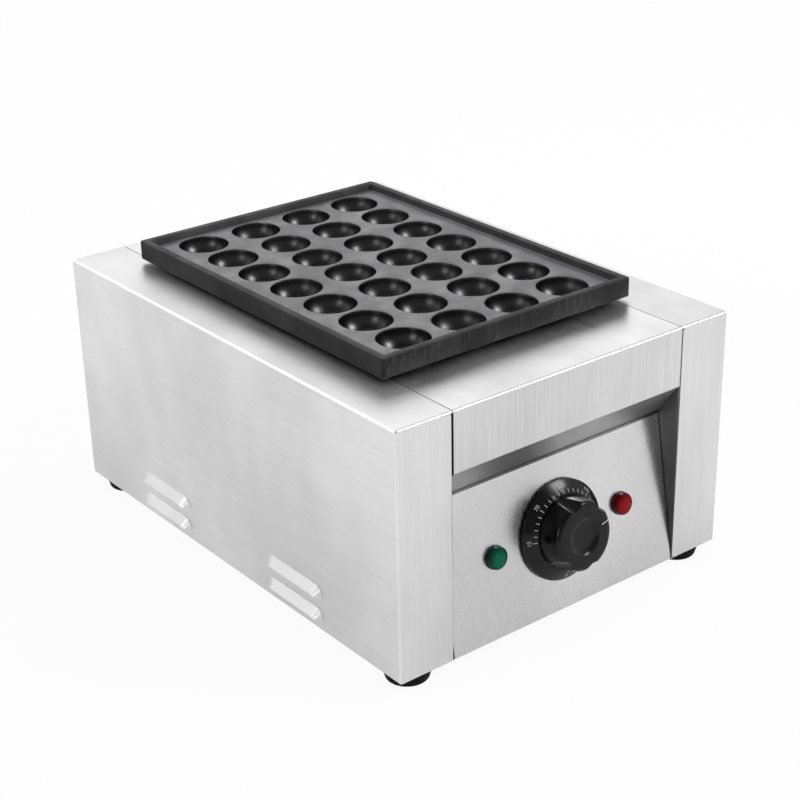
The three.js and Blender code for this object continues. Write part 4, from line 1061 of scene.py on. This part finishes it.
@dataclass
class CastPlate:
    """The lift-off cast iron plate: a rimmed tray of round bowls."""

    finishes: Finishes
    columns: int = 4
    rows: int = 7
    column_pitch: float = 0.0465
    row_pitch: float = 0.0395
    bowl: float = 0.01825
    bowl_depth: float = 0.017
    lip: float = 0.0006
    cup: float = 0.0194
    cup_depth: float = 0.0150
    web: float = 0.005
    web_drop: float = 0.0045
    rim: float = 0.006
    slope: float = 0.002
    skirt: float = 0.008
    chamfer: float = 0.0008
    corner: float = 0.0025
    standoff: float = 0.003
    ring_steps: int = 12
    tile_cuts: int = 11
    bowl_sides: int = 48
    web_zone: float = 0.0007
    cup_root: float = 0.0003

    def tile(self, name: str, z: float, rings: Pairs) -> Bench:
        """Makes one tile of web with a bowl in it.

        Args:
            name: The tile's name.
            z: The web's height.
            rings: The bowl's rings from its edge to its floor, as radius and depth below the web.

        Returns:
            The bench with the tile, its middle on the Z axis.
        """
        clear_selection()
        bpy.ops.mesh.primitive_plane_add(size=1.0, location=(0.0, 0.0, z))
        bpy.context.object.scale = (self.column_pitch, self.row_pitch, 1.0)
        bench = Bench(name)
        bpy.ops.mesh.select_all(action="SELECT")
        bpy.ops.mesh.subdivide(number_cuts=self.tile_cuts)
        inside = (self.column_pitch / 2 - TOUCH, self.row_pitch / 2 - TOUCH)
        bpy.ops.mesh.select_mode(type="FACE")
        bpy.ops.mesh.select_all(action="SELECT")
        bpy.ops.mesh.delete(type="ONLY_FACE")
        bench.pick_edges(lambda a, b: not (
            (abs(a.x) > inside[0] and abs(b.x) > inside[0] and a.x * b.x > 0)
            or (abs(a.y) > inside[1] and abs(b.y) > inside[1] and a.y * b.y > 0)
        ))
        bpy.ops.mesh.delete(type="EDGE")
        bpy.ops.mesh.select_all(action="DESELECT")
        mouth = rings[0][0]
        bpy.ops.mesh.primitive_circle_add(vertices=self.bowl_sides, radius=mouth, location=(0.0, 0.0, z))
        bpy.ops.mesh.select_all(action="SELECT")
        bpy.ops.mesh.bridge_edge_loops()
        bench.pick_edges(lambda a, b: max(a.xy.length, b.xy.length) < mouth + TOUCH)
        for (r0, d0), (r1, d1) in zip(rings, rings[1:]):
            bench.draw_out((0.0, 0.0, d0 - d1), (r1 / r0, r1 / r0, 1.0), (0.0, 0.0, z - d1))
        bpy.ops.mesh.merge(type="CENTER")
        bench.close()
        return bench

    def field(self, bench: Bench, name: str, middle: float) -> Item:
        """Copies a tile over the whole plate and joins the copies."""
        places = []
        for i in range(self.columns):
            for j in range(self.rows):
                x = (i - (self.columns - 1) / 2) * self.column_pitch
                y = (j - (self.rows - 1) / 2) * self.row_pitch + middle
                places.append(Matrix.Translation((x, y, 0.0)))
        return joined(bench.copy_at(places, name), name)

    def wall(self, item: Item, middle: float, steps: Sequence[Point]) -> Bench:
        """Draws the border of a field of tiles out through rectangular rings.

        Args:
            item: The field of tiles.
            middle: The plate's middle along Y.
            steps: For each ring, half its width, half its depth and its height.

        Returns:
            The bench with the last ring still selected.
        """
        make_active(item)
        bench = Bench(item.name)
        bpy.ops.mesh.select_mode(type="EDGE")
        bpy.ops.mesh.select_all(action="SELECT")
        bpy.ops.mesh.remove_doubles(threshold=2e-5)
        half = (self.columns * self.column_pitch / 2, self.rows * self.row_pitch / 2)
        level = max(v.co.z for v in bmesh.from_edit_mesh(item.data).verts)
        bench.pick_edges(lambda a, b: (
            min(abs(a.x), abs(b.x)) > half[0] - TOUCH
            or min(abs(a.y - middle), abs(b.y - middle)) > half[1] - TOUCH
        ) and a.z + b.z > 2 * level - TOUCH)
        last = (*half, level)
        for ring in steps:
            scale = (ring[0] / last[0], ring[1] / last[1], 1.0)
            bench.draw_out((0.0, 0.0, ring[2] - last[2]), scale, (0.0, middle, ring[2]))
            last = ring
        return bench

    def build(self) -> None:
        """Models the cooking face, the rim and the underside, joins them and dresses the casting."""
        low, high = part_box("takoyaki_plate")
        middle = (low.y + high.y) / 2
        top, floor = high.z, high.z - self.web_drop
        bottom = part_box("deck_shell")[1].z + self.standoff
        half_x, half_y = high.x, (high.y - low.y) / 2
        angles = [math.pi / 2 * i / self.ring_steps for i in range(self.ring_steps)]
        under_lip = self.bowl_depth - self.lip
        bowl = [
            (self.bowl + self.lip, 0.0),
            (self.bowl + self.lip * 0.35, self.lip * 0.25),
            (self.bowl, self.lip),
            *((self.bowl * math.cos(a), self.lip + under_lip * math.sin(a)) for a in angles[1:]),
            (self.bowl * 0.06, self.bowl_depth - 0.00002),
        ]
        cup = [(self.cup * math.cos(a), self.cup_depth * math.sin(a)) for a in angles[:-1:2]]
        cup.append((self.cup * 0.1, self.cup_depth - 0.0001))
        face = self.field(self.tile("cooking_tile", floor, bowl), "cooking_face", middle)
        rim, c = self.rim, self.chamfer
        border = [
            (rim + self.slope * 0.72, floor + 0.0006),
            (rim, top - 0.0006),
            (rim - 0.0003, top - 0.00015),
            (rim - 0.0008, top),
            (c, top),
            (c * 0.3, top - c * 0.3),
            (0.0, top - c),
            (0.0, bottom + c),
            (c * 0.3, bottom + c * 0.3),
            (c, bottom),
            (self.skirt, bottom),
        ]
        inset = rim + self.slope
        outside = [(half_x - inset, half_y - inset + 0.0008, floor)]
        outside += [(half_x - inset, half_y - inset, z) for inset, z in border]
        upper = self.wall(face, middle, outside)
        upper.close()
        base = self.field(self.tile("cup_tile", floor - self.web, cup), "cup_side", middle)
        skirt = [
            (half_x - self.skirt - 0.0008, half_y - self.skirt + self.cup_root, floor - self.web),
            (half_x - self.skirt, half_y - self.skirt + self.cup_root, floor - self.web - 0.001),
            (half_x - self.skirt, half_y - self.skirt, bottom),
        ]
        lower = self.wall(base, middle, skirt)
        lower.close()
        joined([face, base], "cast_plate")
        bench = Bench("cast_plate")
        bpy.ops.mesh.select_mode(type="VERT")
        bench.clean()

        def at_corner(a: Vector, b: Vector) -> bool:
            """Tells whether an edge runs down an outer corner of the casting."""
            ends = (abs(p.x) > half_x - 2 * c and abs(p.y - middle) > half_y - 2 * c for p in (a, b))
            steep = (a.xy - b.xy).length < c * 1.2 and abs(a.z - b.z) > TOUCH
            return steep and all(ends)

        def in_cavity(m: Vector, n: Vector) -> bool:
            """Tells whether a face lies in a bowl, below its lip."""
            return m.z < floor - self.lip * 0.9 and n.z > 0.01 and self.in_bowl(m, middle)

        def on_rim(m: Vector, n: Vector) -> bool:
            """Tells whether a face belongs to the rim or to a long side."""
            return abs(n.z) < 0.4 and abs(m.x) > half_x - c or m.z > floor + self.web_zone

        def on_end(m: Vector, n: Vector) -> bool:
            """Tells whether a face belongs to the ground front or rear side."""
            return abs(n.z) < 0.4 and abs(m.y - middle) > half_y - c and abs(n.y) > 0.7

        bench.pick_edges(at_corner)
        bpy.ops.mesh.bevel(offset=self.corner - 0.0006, segments=5, profile=0.5)
        bench.clean()
        bench.close()
        bench.paint(
            # painted sheen on the web
            (self.finishes.cast_web_painted_sheen, everywhere),
            # painted shade in the bowls
            (self.finishes.cast_bowl_painted_shade, in_cavity),
            (self.finishes.cast_side, on_rim),
            (self.finishes.cast_edge, on_end),
        )
        bench.smooth(32.0)
        bench.hand_over(Body.PLATE, "cast_iron", "takoyaki_plate")

    def in_bowl(self, point: Vector, middle: float) -> bool:
        """Tells whether a point lies within a bowl's circle."""
        x = (point.x / self.column_pitch + (self.columns - 1) / 2) % 1.0
        y = ((point.y - middle) / self.row_pitch + (self.rows - 1) / 2) % 1.0
        dx, dy = min(x, 1 - x) * self.column_pitch, min(y, 1 - y) * self.row_pitch
        return math.hypot(dx, dy) < self.bowl + self.lip


# ---------------------------------------------------------------- controls


@dataclass
class DialKnob:
    """The thermostat's dial: a skirt with a scale and a scooped grip with a dished face."""

    finishes: Finishes
    skirt: float = 0.0348
    skirt_low: float = 0.0012
    skirt_edge: float = 0.0032
    skirt_top: float = 0.009
    wall: float = 0.0026
    grip_base: float = 0.0252
    grip_top: float = 0.0239
    height: float = 0.025
    dish: float = 0.0127
    dish_depth: float = 0.0021
    bore: float = 0.0033
    hub: float = 0.008
    pointer_turn: float = 12.2
    scoop: float = 0.0105
    scoops: Pairs = (
        (30.0, 0.0028), (90.0, 0.0032), (210.0, 0.0032), (270.0, 0.0028), (330.0, 0.0015),
    )
    groove: float = 0.0009
    first_mark: float = 271.5
    mark_step: float = 9.0
    marks_a_label: int = 5
    labels: tuple[str, ...] = ("10", "70", "130", "190", "250")
    off_mark: float = 185.0
    hem: float = 0.0004
    brow: float = 0.0030
    face_drop: float = 0.0001
    edge_round: float = 0.00045
    scoop_length: float = 0.024
    scoop_round: float = 0.002
    scoop_rise: float = -0.0035
    bore_floor: float = 0.0173
    bore_mouth: float = 0.0016
    underside: float = 0.0044
    label_ring: float = 0.0314
    label_size: float = 0.0042
    label_thinning: float = -0.00010
    tick_ring: float = 0.0265
    long_tick: float = 0.00165
    short_tick: float = 0.00125
    tick_width: float = 0.00014
    pointer_width: float = 0.00027

    def cone(self, radius: float) -> float:
        """Gives the height of the skirt's cone at a distance from the axis."""
        share = (self.skirt - self.hem - radius) / (self.skirt - self.hem - self.grip_base)
        return self.skirt_edge + share * (self.skirt_top - self.skirt_edge)

    def knob_body(self) -> Bench:
        """Turns the knob and scoops out the hollows between its lobes."""
        profile = [
            (0.0, self.bore_floor),
            (self.bore, self.bore_floor),
            (self.bore, self.bore_mouth),
            (self.hub, self.bore_mouth),
            (self.hub, self.underside),
            (self.skirt - self.wall, self.underside),
            (self.skirt - self.wall, self.skirt_low),
            *arc((self.skirt - self.hem, self.skirt_low + self.hem), self.hem, -90, 0, 3),
            *arc((self.skirt - 0.0007, self.skirt_edge - 0.0007), 0.0007, 5, 58, 4),
            (self.grip_base + self.groove, self.cone(self.grip_base + self.groove)),
            (self.grip_base + self.groove - 0.0001, self.skirt_top - self.groove),
            (self.grip_base, self.skirt_top - self.groove),
            (self.grip_base - 0.0002, self.skirt_top + 0.0008),
            (self.grip_top + 0.0002, self.height - 0.0035),
            *arc((self.grip_top - self.brow, self.height - self.brow - 0.0002), self.brow, 4, 82, 8),
            (self.grip_top - 0.0050, self.height - self.face_drop),
            (self.dish + 0.0016, self.height - 0.0002),
            *arc((self.dish + 0.0008, self.height - 0.0014), 0.0012, 90, 130, 4),
            (self.dish - 0.0012, self.height - self.dish_depth * 0.62),
            (self.dish - 0.0028, self.height - self.dish_depth * 0.93),
            (self.dish - 0.0050, self.height - self.dish_depth),
            (0.0, self.height - self.dish_depth),
        ]
        bench = Bench.turned("knob", profile, 144)
        bench.close()
        cutters = []
        for turn, reach in self.scoops:
            lean = math.atan2(reach + self.grip_base - self.grip_top, self.height - self.skirt_top)
            clear_selection()
            bpy.ops.mesh.primitive_cylinder_add(vertices=64, radius=self.scoop, depth=self.scoop_length)
            cutter = Bench("scoop")
            cutter.pick_edges(lambda a, b: a.z < 0 and b.z < 0)
            bpy.ops.mesh.bevel(offset=self.scoop_round, segments=4, profile=0.5)
            cutter.close()
            out = self.grip_top + self.scoop - reach
            angle = math.radians(self.pointer_turn + turn)
            tool = cutter.item
            tool.data.transform(
                Matrix.Rotation(angle, 4, "Z")
                @ Matrix.Translation((out, 0.0, self.height))
                @ Matrix.Rotation(-lean, 4, "Y")
                @ Matrix.Translation((0.0, 0.0, self.scoop_rise))
            )
            cutters.append(tool)
        bench.carve(joined(cutters, "scoops"))
        bench.open()
        bench.clean()
        bench.close()
        sharp = math.radians(32)
        bench.modify("BEVEL", width=self.edge_round, segments=3, limit_method="ANGLE", angle_limit=sharp)
        return bench

    def on_cone(self, radius: float, clockwise: float) -> Matrix:
        """Gives a place on the skirt, +X clockwise, +Y outwards and +Z off the cone.

        Args:
            radius: The distance from the axis.
            clockwise: Degrees clockwise from the top, seen from the front.

        Returns:
            The place in the dial's frame.
        """
        angle = math.radians(clockwise)
        out = Vector((math.sin(angle), math.cos(angle), 0.0))
        across = Vector((math.cos(angle), -math.sin(angle), 0.0))
        slope = math.atan2(self.skirt_top - self.skirt_edge, self.skirt - self.hem - self.grip_base)
        down = out * math.cos(slope) - Vector((0.0, 0.0, math.sin(slope)))
        off = across.cross(down)
        turn = Matrix((across, down, off)).transposed().to_4x4()
        return Matrix.Translation(out * radius + Vector((0.0, 0.0, self.cone(radius)))) @ turn

    def scale_marks(self) -> list[Item]:
        """Prints the numbers, the ticks and the pointer line."""
        marks = []
        label_step = self.mark_step * self.marks_a_label
        places = [(text, self.first_mark + i * label_step) for i, text in enumerate(self.labels)]
        for text, clockwise in [("0", self.off_mark), *places]:
            clear_selection()
            bpy.ops.object.text_add()
            label = bpy.context.object
            label.data.body, label.data.size, label.data.extrude = text, self.label_size, PRINT_RISE
            label.data.align_x, label.data.align_y = "CENTER", "CENTER"
            label.data.resolution_u, label.data.offset = 4, self.label_thinning
            bpy.ops.object.convert(target="MESH")
            label = bpy.context.object
            label.data.transform(self.on_cone(self.label_ring, clockwise))
            marks.append(label)
        count = (len(self.labels) - 1) * self.marks_a_label + 1
        angles = [self.off_mark, *(self.first_mark + i * self.mark_step for i in range(count))]
        for number, clockwise in enumerate(angles):
            long = number == 0 or (number - 1) % self.marks_a_label == 0
            half = self.long_tick if long else self.short_tick
            tick = Bench.block(
                "tick", (-self.tick_width, -half, -PRINT_RISE), (self.tick_width, half, PRINT_RISE)
            )
            tick.pick_edges(lambda a, b: abs(a.z - b.z) > PRINT_RISE)
            bpy.ops.mesh.bevel(offset=0.00006, segments=2)
            tick.close()
            tick.item.data.transform(self.on_cone(self.tick_ring + half, clockwise))
            marks.append(tick.item)
        line = Bench.block(
            "pointer",
            (self.dish + 0.0034, -self.pointer_width, -PRINT_RISE),
            (self.grip_top - 0.0010, self.pointer_width, PRINT_RISE),
        )
        bpy.ops.mesh.select_all(action="SELECT")
        bpy.ops.mesh.subdivide(number_cuts=8)
        line.close()
        turn = math.radians(self.pointer_turn)
        for vertex in line.item.data.vertices:
            vertex.co.z += self.face_height(vertex.co.x)
        line.item.data.transform(Matrix.Rotation(turn, 4, "Z"))
        marks.append(line.item)
        return marks

    def face_height(self, radius: float) -> float:
        """Gives the height of the grip's face at a distance from the axis."""
        over = radius - (self.grip_top - self.brow)
        if over <= 0.0:
            return self.height - self.face_drop
        return self.height - self.brow - 0.0002 + math.sqrt(max(0.0, self.brow**2 - over**2))

    def build(self) -> None:
        """Makes the knob and its print and sets them on the panel."""
        place = panel_place()
        bench = self.knob_body()
        bench.item.data.transform(place)
        bench.coat(self.finishes.knob, 34.0)
        bench.hand_over(Body.KNOB, "knob_plastic", "dial_knob")
        marks = joined(self.scale_marks(), "dial_marks")
        marks.data.transform(place)
        marks.data.materials.clear()
        marks.data.materials.append(self.finishes.print)
        hand_over(marks, Body.KNOB, "knob_plastic")


@dataclass
class SignalLamp:
    """One signal lamp: a domed lens in a thin dark bezel."""

    side: Side
    colour: str
    tone: Point
    finishes: Finishes
    radius: float = 0.0082
    lens: float = 0.0078
    reach: float = 0.0048
    spacing: float = 0.057
    up: float = -0.0005
    bezel_bore: float = 0.0063

    def build(self) -> None:
        """Turns the bezel and the lens and sets them in the panel."""
        place = panel_place() @ Matrix.Translation((self.side.value * self.spacing, self.up, 0.0))
        bezel = Bench.turned(
            "bezel",
            [
                (self.bezel_bore, 0.0003),
                (self.radius - 0.0002, 0.0003),
                *arc((self.radius - 0.0003, 0.0006), 0.0003, -10, 90, 4),
                (self.lens + 0.0001, 0.0009),
                (self.lens + 0.0001, 0.0007),
                (self.bezel_bore, 0.0007),
            ],
            64,
            closed=True,
        )
        bezel.close()
        bezel.item.data.transform(place)
        bezel.coat(self.finishes.plastic, 40.0)
        bezel.item.name = f"lamp_bezel_{self.colour}"
        bezel.hand_over(Body.CABINET, f"lens_{self.colour}")
        dome = [(0.0, 0.0008), (self.lens, 0.0008), (self.lens, 0.0028)]
        dome += arc((self.lens - 0.0011, 0.0030), 0.0011, 0, 62, 5)
        dome += [(0.0056, 0.00425), (0.0038, 0.00458), (0.0019, 0.00475), (0.0, self.reach)]
        glass = Bench.turned("lens", dome, 64)
        glass.close()
        glass.item.data.transform(place)
        centre = tuple(place.to_translation())
        glass.coat(LampGlass(f"lamp_glass_{self.colour}", self.tone, centre).build(), 45.0)
        glass.item.name = f"lamp_glass_{self.colour}"
        glass.hand_over(Body.CABINET, f"lens_{self.colour}", f"lamp_lens_{self.colour}")


# ---------------------------------------------------------------- under the plate and at the rear


@dataclass
class HeatingElements:
    """Two hairpin tubes under the cups, with their terminal pins."""

    finishes: Finishes
    radius: float = 0.004
    pin: float = 0.0016
    pin_length: float = 0.012
    sides: int = 20

    def build(self) -> None:
        """Draws each tube back, spins it round its bend and draws it forward again."""
        for side in Side:
            node = f"heating_element_{side.name.lower()}"
            low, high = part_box(node)
            left, right = low.x + self.radius, high.x - self.radius
            height, bend = (low.z + high.z) / 2, (right - left) / 2
            front, turn = low.y + self.pin_length, high.y - self.radius - bend
            clear_selection()
            bpy.ops.mesh.primitive_circle_add(
                vertices=self.sides, radius=self.pin, fill_type="NGON",
                location=(left, low.y, height), rotation=(-math.pi / 2, 0.0, 0.0),
            )
            bench = Bench(f"element_tube_{side.name.lower()}")
            bpy.ops.mesh.select_all(action="SELECT")
            wide = self.radius / self.pin
            bench.draw_out((0.0, self.pin_length, 0.0))
            bench.draw_out((0.0, 0.0, 0.0), (wide, 1.0, wide), (left, front, height))
            bench.draw_out((0.0, turn - front, 0.0))
            middle = (left + bend, turn, height)
            bpy.ops.mesh.spin(steps=self.sides, angle=math.pi, center=middle, axis=(0.0, 0.0, -1.0))
            bench.draw_out((0.0, front - turn, 0.0))
            bench.draw_out((0.0, 0.0, 0.0), (1 / wide, 1.0, 1 / wide), (right, front, height))
            bench.draw_out((0.0, -self.pin_length, 0.0))
            bench.clean()
            bench.close()
            bench.paint(
                (self.finishes.sheath, everywhere),
                (self.finishes.plated, lambda c, n, edge=front: c.y < edge - 1e-4),
            )
            bench.smooth(40.0)
            bench.hand_over(Body.CABINET, "element_sheath", node)


@dataclass
class CableGland:
    """The gland in the rear panel: a hexagon with a thread, and a ribbed dome nut."""

    finishes: Finishes
    hexagon: float = 0.0115
    thread: float = 0.008
    bore: float = 0.005
    cap: float = 0.0105
    ribs: int = 24
    rib_rise: float = 0.00055
    pitch: float = 0.0015
    turns: int = 5
    chamfer: float = 0.0009
    head: float = 0.005
    ease: float = 0.0005
    seat: float = 0.0003

    def build(self) -> None:
        """Turns the gland and its nut, ribs the nut and sets both in the rear panel."""
        low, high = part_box("cable_gland")
        cap_low, cap_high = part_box("gland_cap")
        middle = ((cap_low.x + cap_high.x) / 2, (cap_low.z + cap_high.z) / 2)
        place = Matrix.Translation((middle[0], 0.0, middle[1])) @ Matrix.Rotation(-math.pi / 2, 4, "X")
        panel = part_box("rear_panel")[1].y + self.seat
        thread = [(self.bore, low.y), (self.thread - self.ease, low.y), (self.thread, low.y + self.ease)]
        for turn in range(self.turns):
            start = low.y + 0.0007 + turn * self.pitch
            thread += [(self.thread, start), (self.thread - 0.0006, start + self.pitch * 0.5)]
        thread += [(self.thread, low.y + 0.0085), (self.thread, panel + 0.0002)]
        thread += [(self.thread, high.y - self.ease), (self.thread - self.ease, high.y), (self.bore, high.y)]
        chamfer = self.chamfer
        body = Bench.turned("gland_body", thread, 48, closed=True)
        body.close()
        head = Bench.turned(
            "gland_head",
            [
                (self.thread - self.ease, panel),
                (self.hexagon - chamfer, panel),
                (self.hexagon, panel + chamfer * 0.6),
                (self.hexagon, panel + self.head - chamfer * 0.6),
                (self.hexagon - chamfer, panel + self.head),
                (self.thread - self.ease, panel + self.head),
            ],
            6, closed=True,
        )
        head.close()
        body = joined([body.item, head.item], "gland_body")
        body.data.transform(place)
        make_active(body)
        bench = Bench("gland_body")
        bench.coat(self.finishes.plastic, 28.0)
        bench.hand_over(Body.CABINET, "black_plastic", "cable_gland")
        dome = Bench.turned(
            "gland_dome",
            [
                (self.thread + self.seat, cap_low.y),
                (self.cap - 0.0007, cap_low.y),
                (self.cap - 0.0007, cap_high.y - 0.0052),
                *arc((self.cap - 0.0042, cap_high.y - 0.0040), 0.0034, 12, 80, 6),
                (self.bore + 0.0006, cap_high.y),
                (self.bore, cap_high.y - 0.0006),
                (self.bore, cap_low.y + 0.0075),
                (self.thread + self.seat, cap_low.y + 0.0073),
            ],
            self.ribs * 2, closed=True,
        )

        def on_rib(c: Vector, n: Vector) -> bool:
            """Picks every second facet of the nut's grip."""
            turn = (math.atan2(c.y, c.x) / (2 * math.pi) * self.ribs * 2) % 2
            return c.xy.length > self.cap - 0.0012 and abs(n.z) < 0.1 and turn < 1.0

        dome.pick_faces(on_rib)
        bpy.ops.mesh.extrude_faces_move(TRANSFORM_OT_shrink_fatten={"value": self.rib_rise})
        dome.clean()
        dome.close()
        dome.item.data.transform(place)
        dome.coat(self.finishes.plastic, 28.0)
        dome.hand_over(Body.CABINET, "black_plastic", "gland_cap")


@dataclass
class CaseScrews:
    """Four pan-head screws with a cross recess in the rear flanges."""

    finishes: Finishes
    head: float = 0.0038
    height: float = 0.0021
    shank: float = 0.0018
    length: float = 0.006
    arm_reach: float = 0.0019
    arm_half: float = 0.00045
    recess_floor: float = 0.0009

    def build(self) -> None:
        """Turns one screw, cuts its recess and copies it to the four places."""
        profile = [
            (0.0, -self.length),
            (self.shank * 0.3, -self.length),
            (self.shank, -self.length + 0.0018),
            (self.shank, 0.0003),
            (self.head - 0.0002, 0.0003),
            (self.head, 0.0006),
            *arc((self.head - 0.0017, 0.0004), 0.0017, 15, 78, 6),
            (0.0, self.height),
        ]
        bench = Bench.turned("screw", profile, 48)
        bench.close()
        arms = []
        for x, y in ((self.arm_reach, self.arm_half), (self.arm_half, self.arm_reach)):
            arm = Bench.block("arm", (-x, -y, self.recess_floor), (x, y, 0.003))
            arm.pick_faces(lambda c, n: n.z < -0.9)
            bpy.ops.transform.resize(value=(0.45, 0.45, 1.0), center_override=(0.0, 0.0, self.recess_floor))
            arm.close()
            arms.append(arm.item)
        for arm in arms:
            bench.carve(arm)
        bench.coat(self.finishes.plated, 30.0)
        corners = [(level, across) for level in ("lower", "upper") for across in ("left", "right")]
        nodes = [f"case_screw_{level}_{across}" for level, across in corners]
        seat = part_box(nodes[0])[0].y + self.length
        places = []
        for number, node in enumerate(nodes):
            low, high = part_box(node)
            spin = Matrix.Rotation(math.radians(20 + 37 * number), 4, "Z")
            places.append(
                Matrix.Translation(((low.x + high.x) / 2, seat, (low.z + high.z) / 2))
                @ Matrix.Rotation(-math.pi / 2, 4, "X") @ spin
            )
        for item, node in zip(bench.copy_at(places, "rear_screw"), nodes):
            hand_over(item, Body.CABINET, "plated", node)


@dataclass
class InnerWorks:
    """The nodes whose plain form is right: they keep it and get their finish."""

    finishes: Finishes

    def build(self) -> None:
        """Dresses each kept node."""
        kept = {
            self.finishes.galvanised: ["rear_panel", "base_plate"],
            self.finishes.aluminised: ["reflector_tray"],
            self.finishes.copper: ["capillary_sensor"],
            self.finishes.ceramic: ["terminal_block", "thermostat_body"],
            self.finishes.plastic: ["lamp_body_green", "lamp_body_red", "gland_nut"],
            self.finishes.plated: [
                "element_bracket_front", "element_bracket_rear", "bulb_clip", "dial_shaft",
                "thermostat_screw_left", "thermostat_screw_right",
                "foot_screw_front_left", "foot_screw_front_right",
                "foot_screw_rear_left", "foot_screw_rear_right",
            ],
        }
        for material, nodes in kept.items():
            for node in nodes:
                dress(node, material)


# ---------------------------------------------------------------- studio


@dataclass(frozen=True)
class SoftBox:
    """One soft box, aimed at the middle of the object: its place, its width and height, and its power."""

    name: str
    place: Point
    size: tuple[float, float]
    power: float
    aim: Point = (0.0, 0.0, 0.12)

    def hang(self) -> None:
        """Hangs the box."""
        clear_selection()
        turn = (Vector(self.aim) - Vector(self.place)).to_track_quat("-Z", "Y").to_euler()
        bpy.ops.object.light_add(type="AREA", location=self.place, rotation=turn)
        lamp = bpy.context.object
        lamp.name = self.name
        lamp.data.shape = "RECTANGLE"
        lamp.data.size, lamp.data.size_y = self.size
        lamp.data.energy = self.power


@dataclass
class Studio:
    """Seamless pale floor, soft boxes and the camera."""

    camera_place: Point = (-0.70405, -0.91892, 0.63211)
    camera_look: Point = (0.557801, 0.715901, -0.419933)
    camera_roll: float = 1.26
    lens: float = 78.09
    ambient: float = 0.44
    bright: float = 0.80
    dim: float = 0.08
    sensor: float = 36.0
    floor_size: float = 14.0
    boxes: tuple[SoftBox, ...] = (
        SoftBox("overhead", (0.1, 0.25, 1.9), (1.3, 1.3), 10.0),
        SoftBox("key", (1.26, -1.28, 1.52), (0.7, 0.7), 24.0),
        SoftBox("fill", (-2.20, -0.45, 0.95), (0.8, 0.8), 8.0),
        SoftBox("rear_left", (-1.9, 1.1, 0.75), (1.2, 0.9), 3.2),
        SoftBox("rear", (0.6, 2.2, 1.5), (4.0, 1.2), 16.4),
    )

    def floor(self) -> None:
        """Lays the floor and its backdrop colour."""
        clear_selection()
        bpy.ops.mesh.primitive_plane_add(size=self.floor_size, location=(0.0, 0.0, 0.0))
        paper = bpy.context.object
        paper.name = "seamless_floor"
        paper.data.materials.append(Backdrop().build())

    def sky(self) -> None:
        """Fills the world with soft white; gloss sees it dark on the camera's side, as in a studio."""
        world = bpy.data.worlds.new("studio_air")
        bpy.context.scene.world = world
        s = Shades.of_world(world)
        plain, gloss = s.rays()
        way = s.add("ShaderNodeTexCoord").outputs["Generated"]
        toward = Vector(self.camera_place).to_2d().normalized()
        along = s.add("ShaderNodeVectorMath", {0: way, 1: (*toward, 0.0)}, operation="DOT_PRODUCT")
        front = s.sweep(along.outputs["Value"], 0.0, 0.6, 0.05, 0.45)
        height = s.add("ShaderNodeSeparateXYZ", {"Vector": way}).outputs["Z"]
        raised = s.sweep(height, 0.0, 1.0, -0.02, 0.10)
        roof = s.sweep(height, 0.0, 1.0, 0.62, 0.85)
        shade = s.sums(s.times(front, raised), roof, "MAXIMUM")
        mirrored = s.times(s.sweep(shade, self.bright, self.dim, 0.0, 1.0), gloss)
        soft = s.times(s.sums(s.times(gloss, -1.0), 1.0), self.ambient)
        level = s.sums(s.sums(mirrored, soft), plain, "MAXIMUM")
        air = s.add("ShaderNodeBackground", {"Color": WHITE, "Strength": level})
        s.put_out(air.outputs["Background"], "ShaderNodeOutputWorld")

    def camera(self) -> None:
        """Sets the camera at the photograph's angle."""
        clear_selection()
        turn = Vector(self.camera_look).to_track_quat("-Z", "Y").to_matrix()
        turn = turn @ Matrix.Rotation(math.radians(-self.camera_roll), 3, "Z")
        bpy.ops.object.camera_add(location=self.camera_place, rotation=turn.to_euler())
        camera = bpy.context.object
        camera.data.lens, camera.data.sensor_width = self.lens, self.sensor
        camera.data.clip_start, camera.data.clip_end = 0.05, 60.0
        bpy.context.scene.camera = camera

    def build(self) -> None:
        """Builds the studio."""
        self.floor()
        self.sky()
        for box in self.boxes:
            box.hang()
        self.camera()
        bpy.context.scene.view_settings.view_transform = "Standard"


def main() -> None:
    """Builds every sub-assembly in order, then the studio."""
    logging.basicConfig(level=logging.INFO, format="%(message)s")
    finishes = Finishes()
    assemblies = [
        SideCasing(Side.LEFT, finishes),
        SideCasing(Side.RIGHT, finishes),
        MiddleSheets(finishes),
        RubberFeet(finishes),
        CastPlate(finishes),
        DialKnob(finishes),
        SignalLamp(Side.LEFT, "green", (0.0005, 0.125, 0.076), finishes),
        SignalLamp(Side.RIGHT, "red", (0.30, 0.002, 0.004), finishes),
        HeatingElements(finishes),
        CableGland(finishes),
        CaseScrews(finishes),
        InnerWorks(finishes),
        Studio(),
    ]
    for assembly in assemblies:
        assembly.build()
        LOG.info("%s done", type(assembly).__name__)
    clear_selection()


if __name__ == "__main__":
    main()
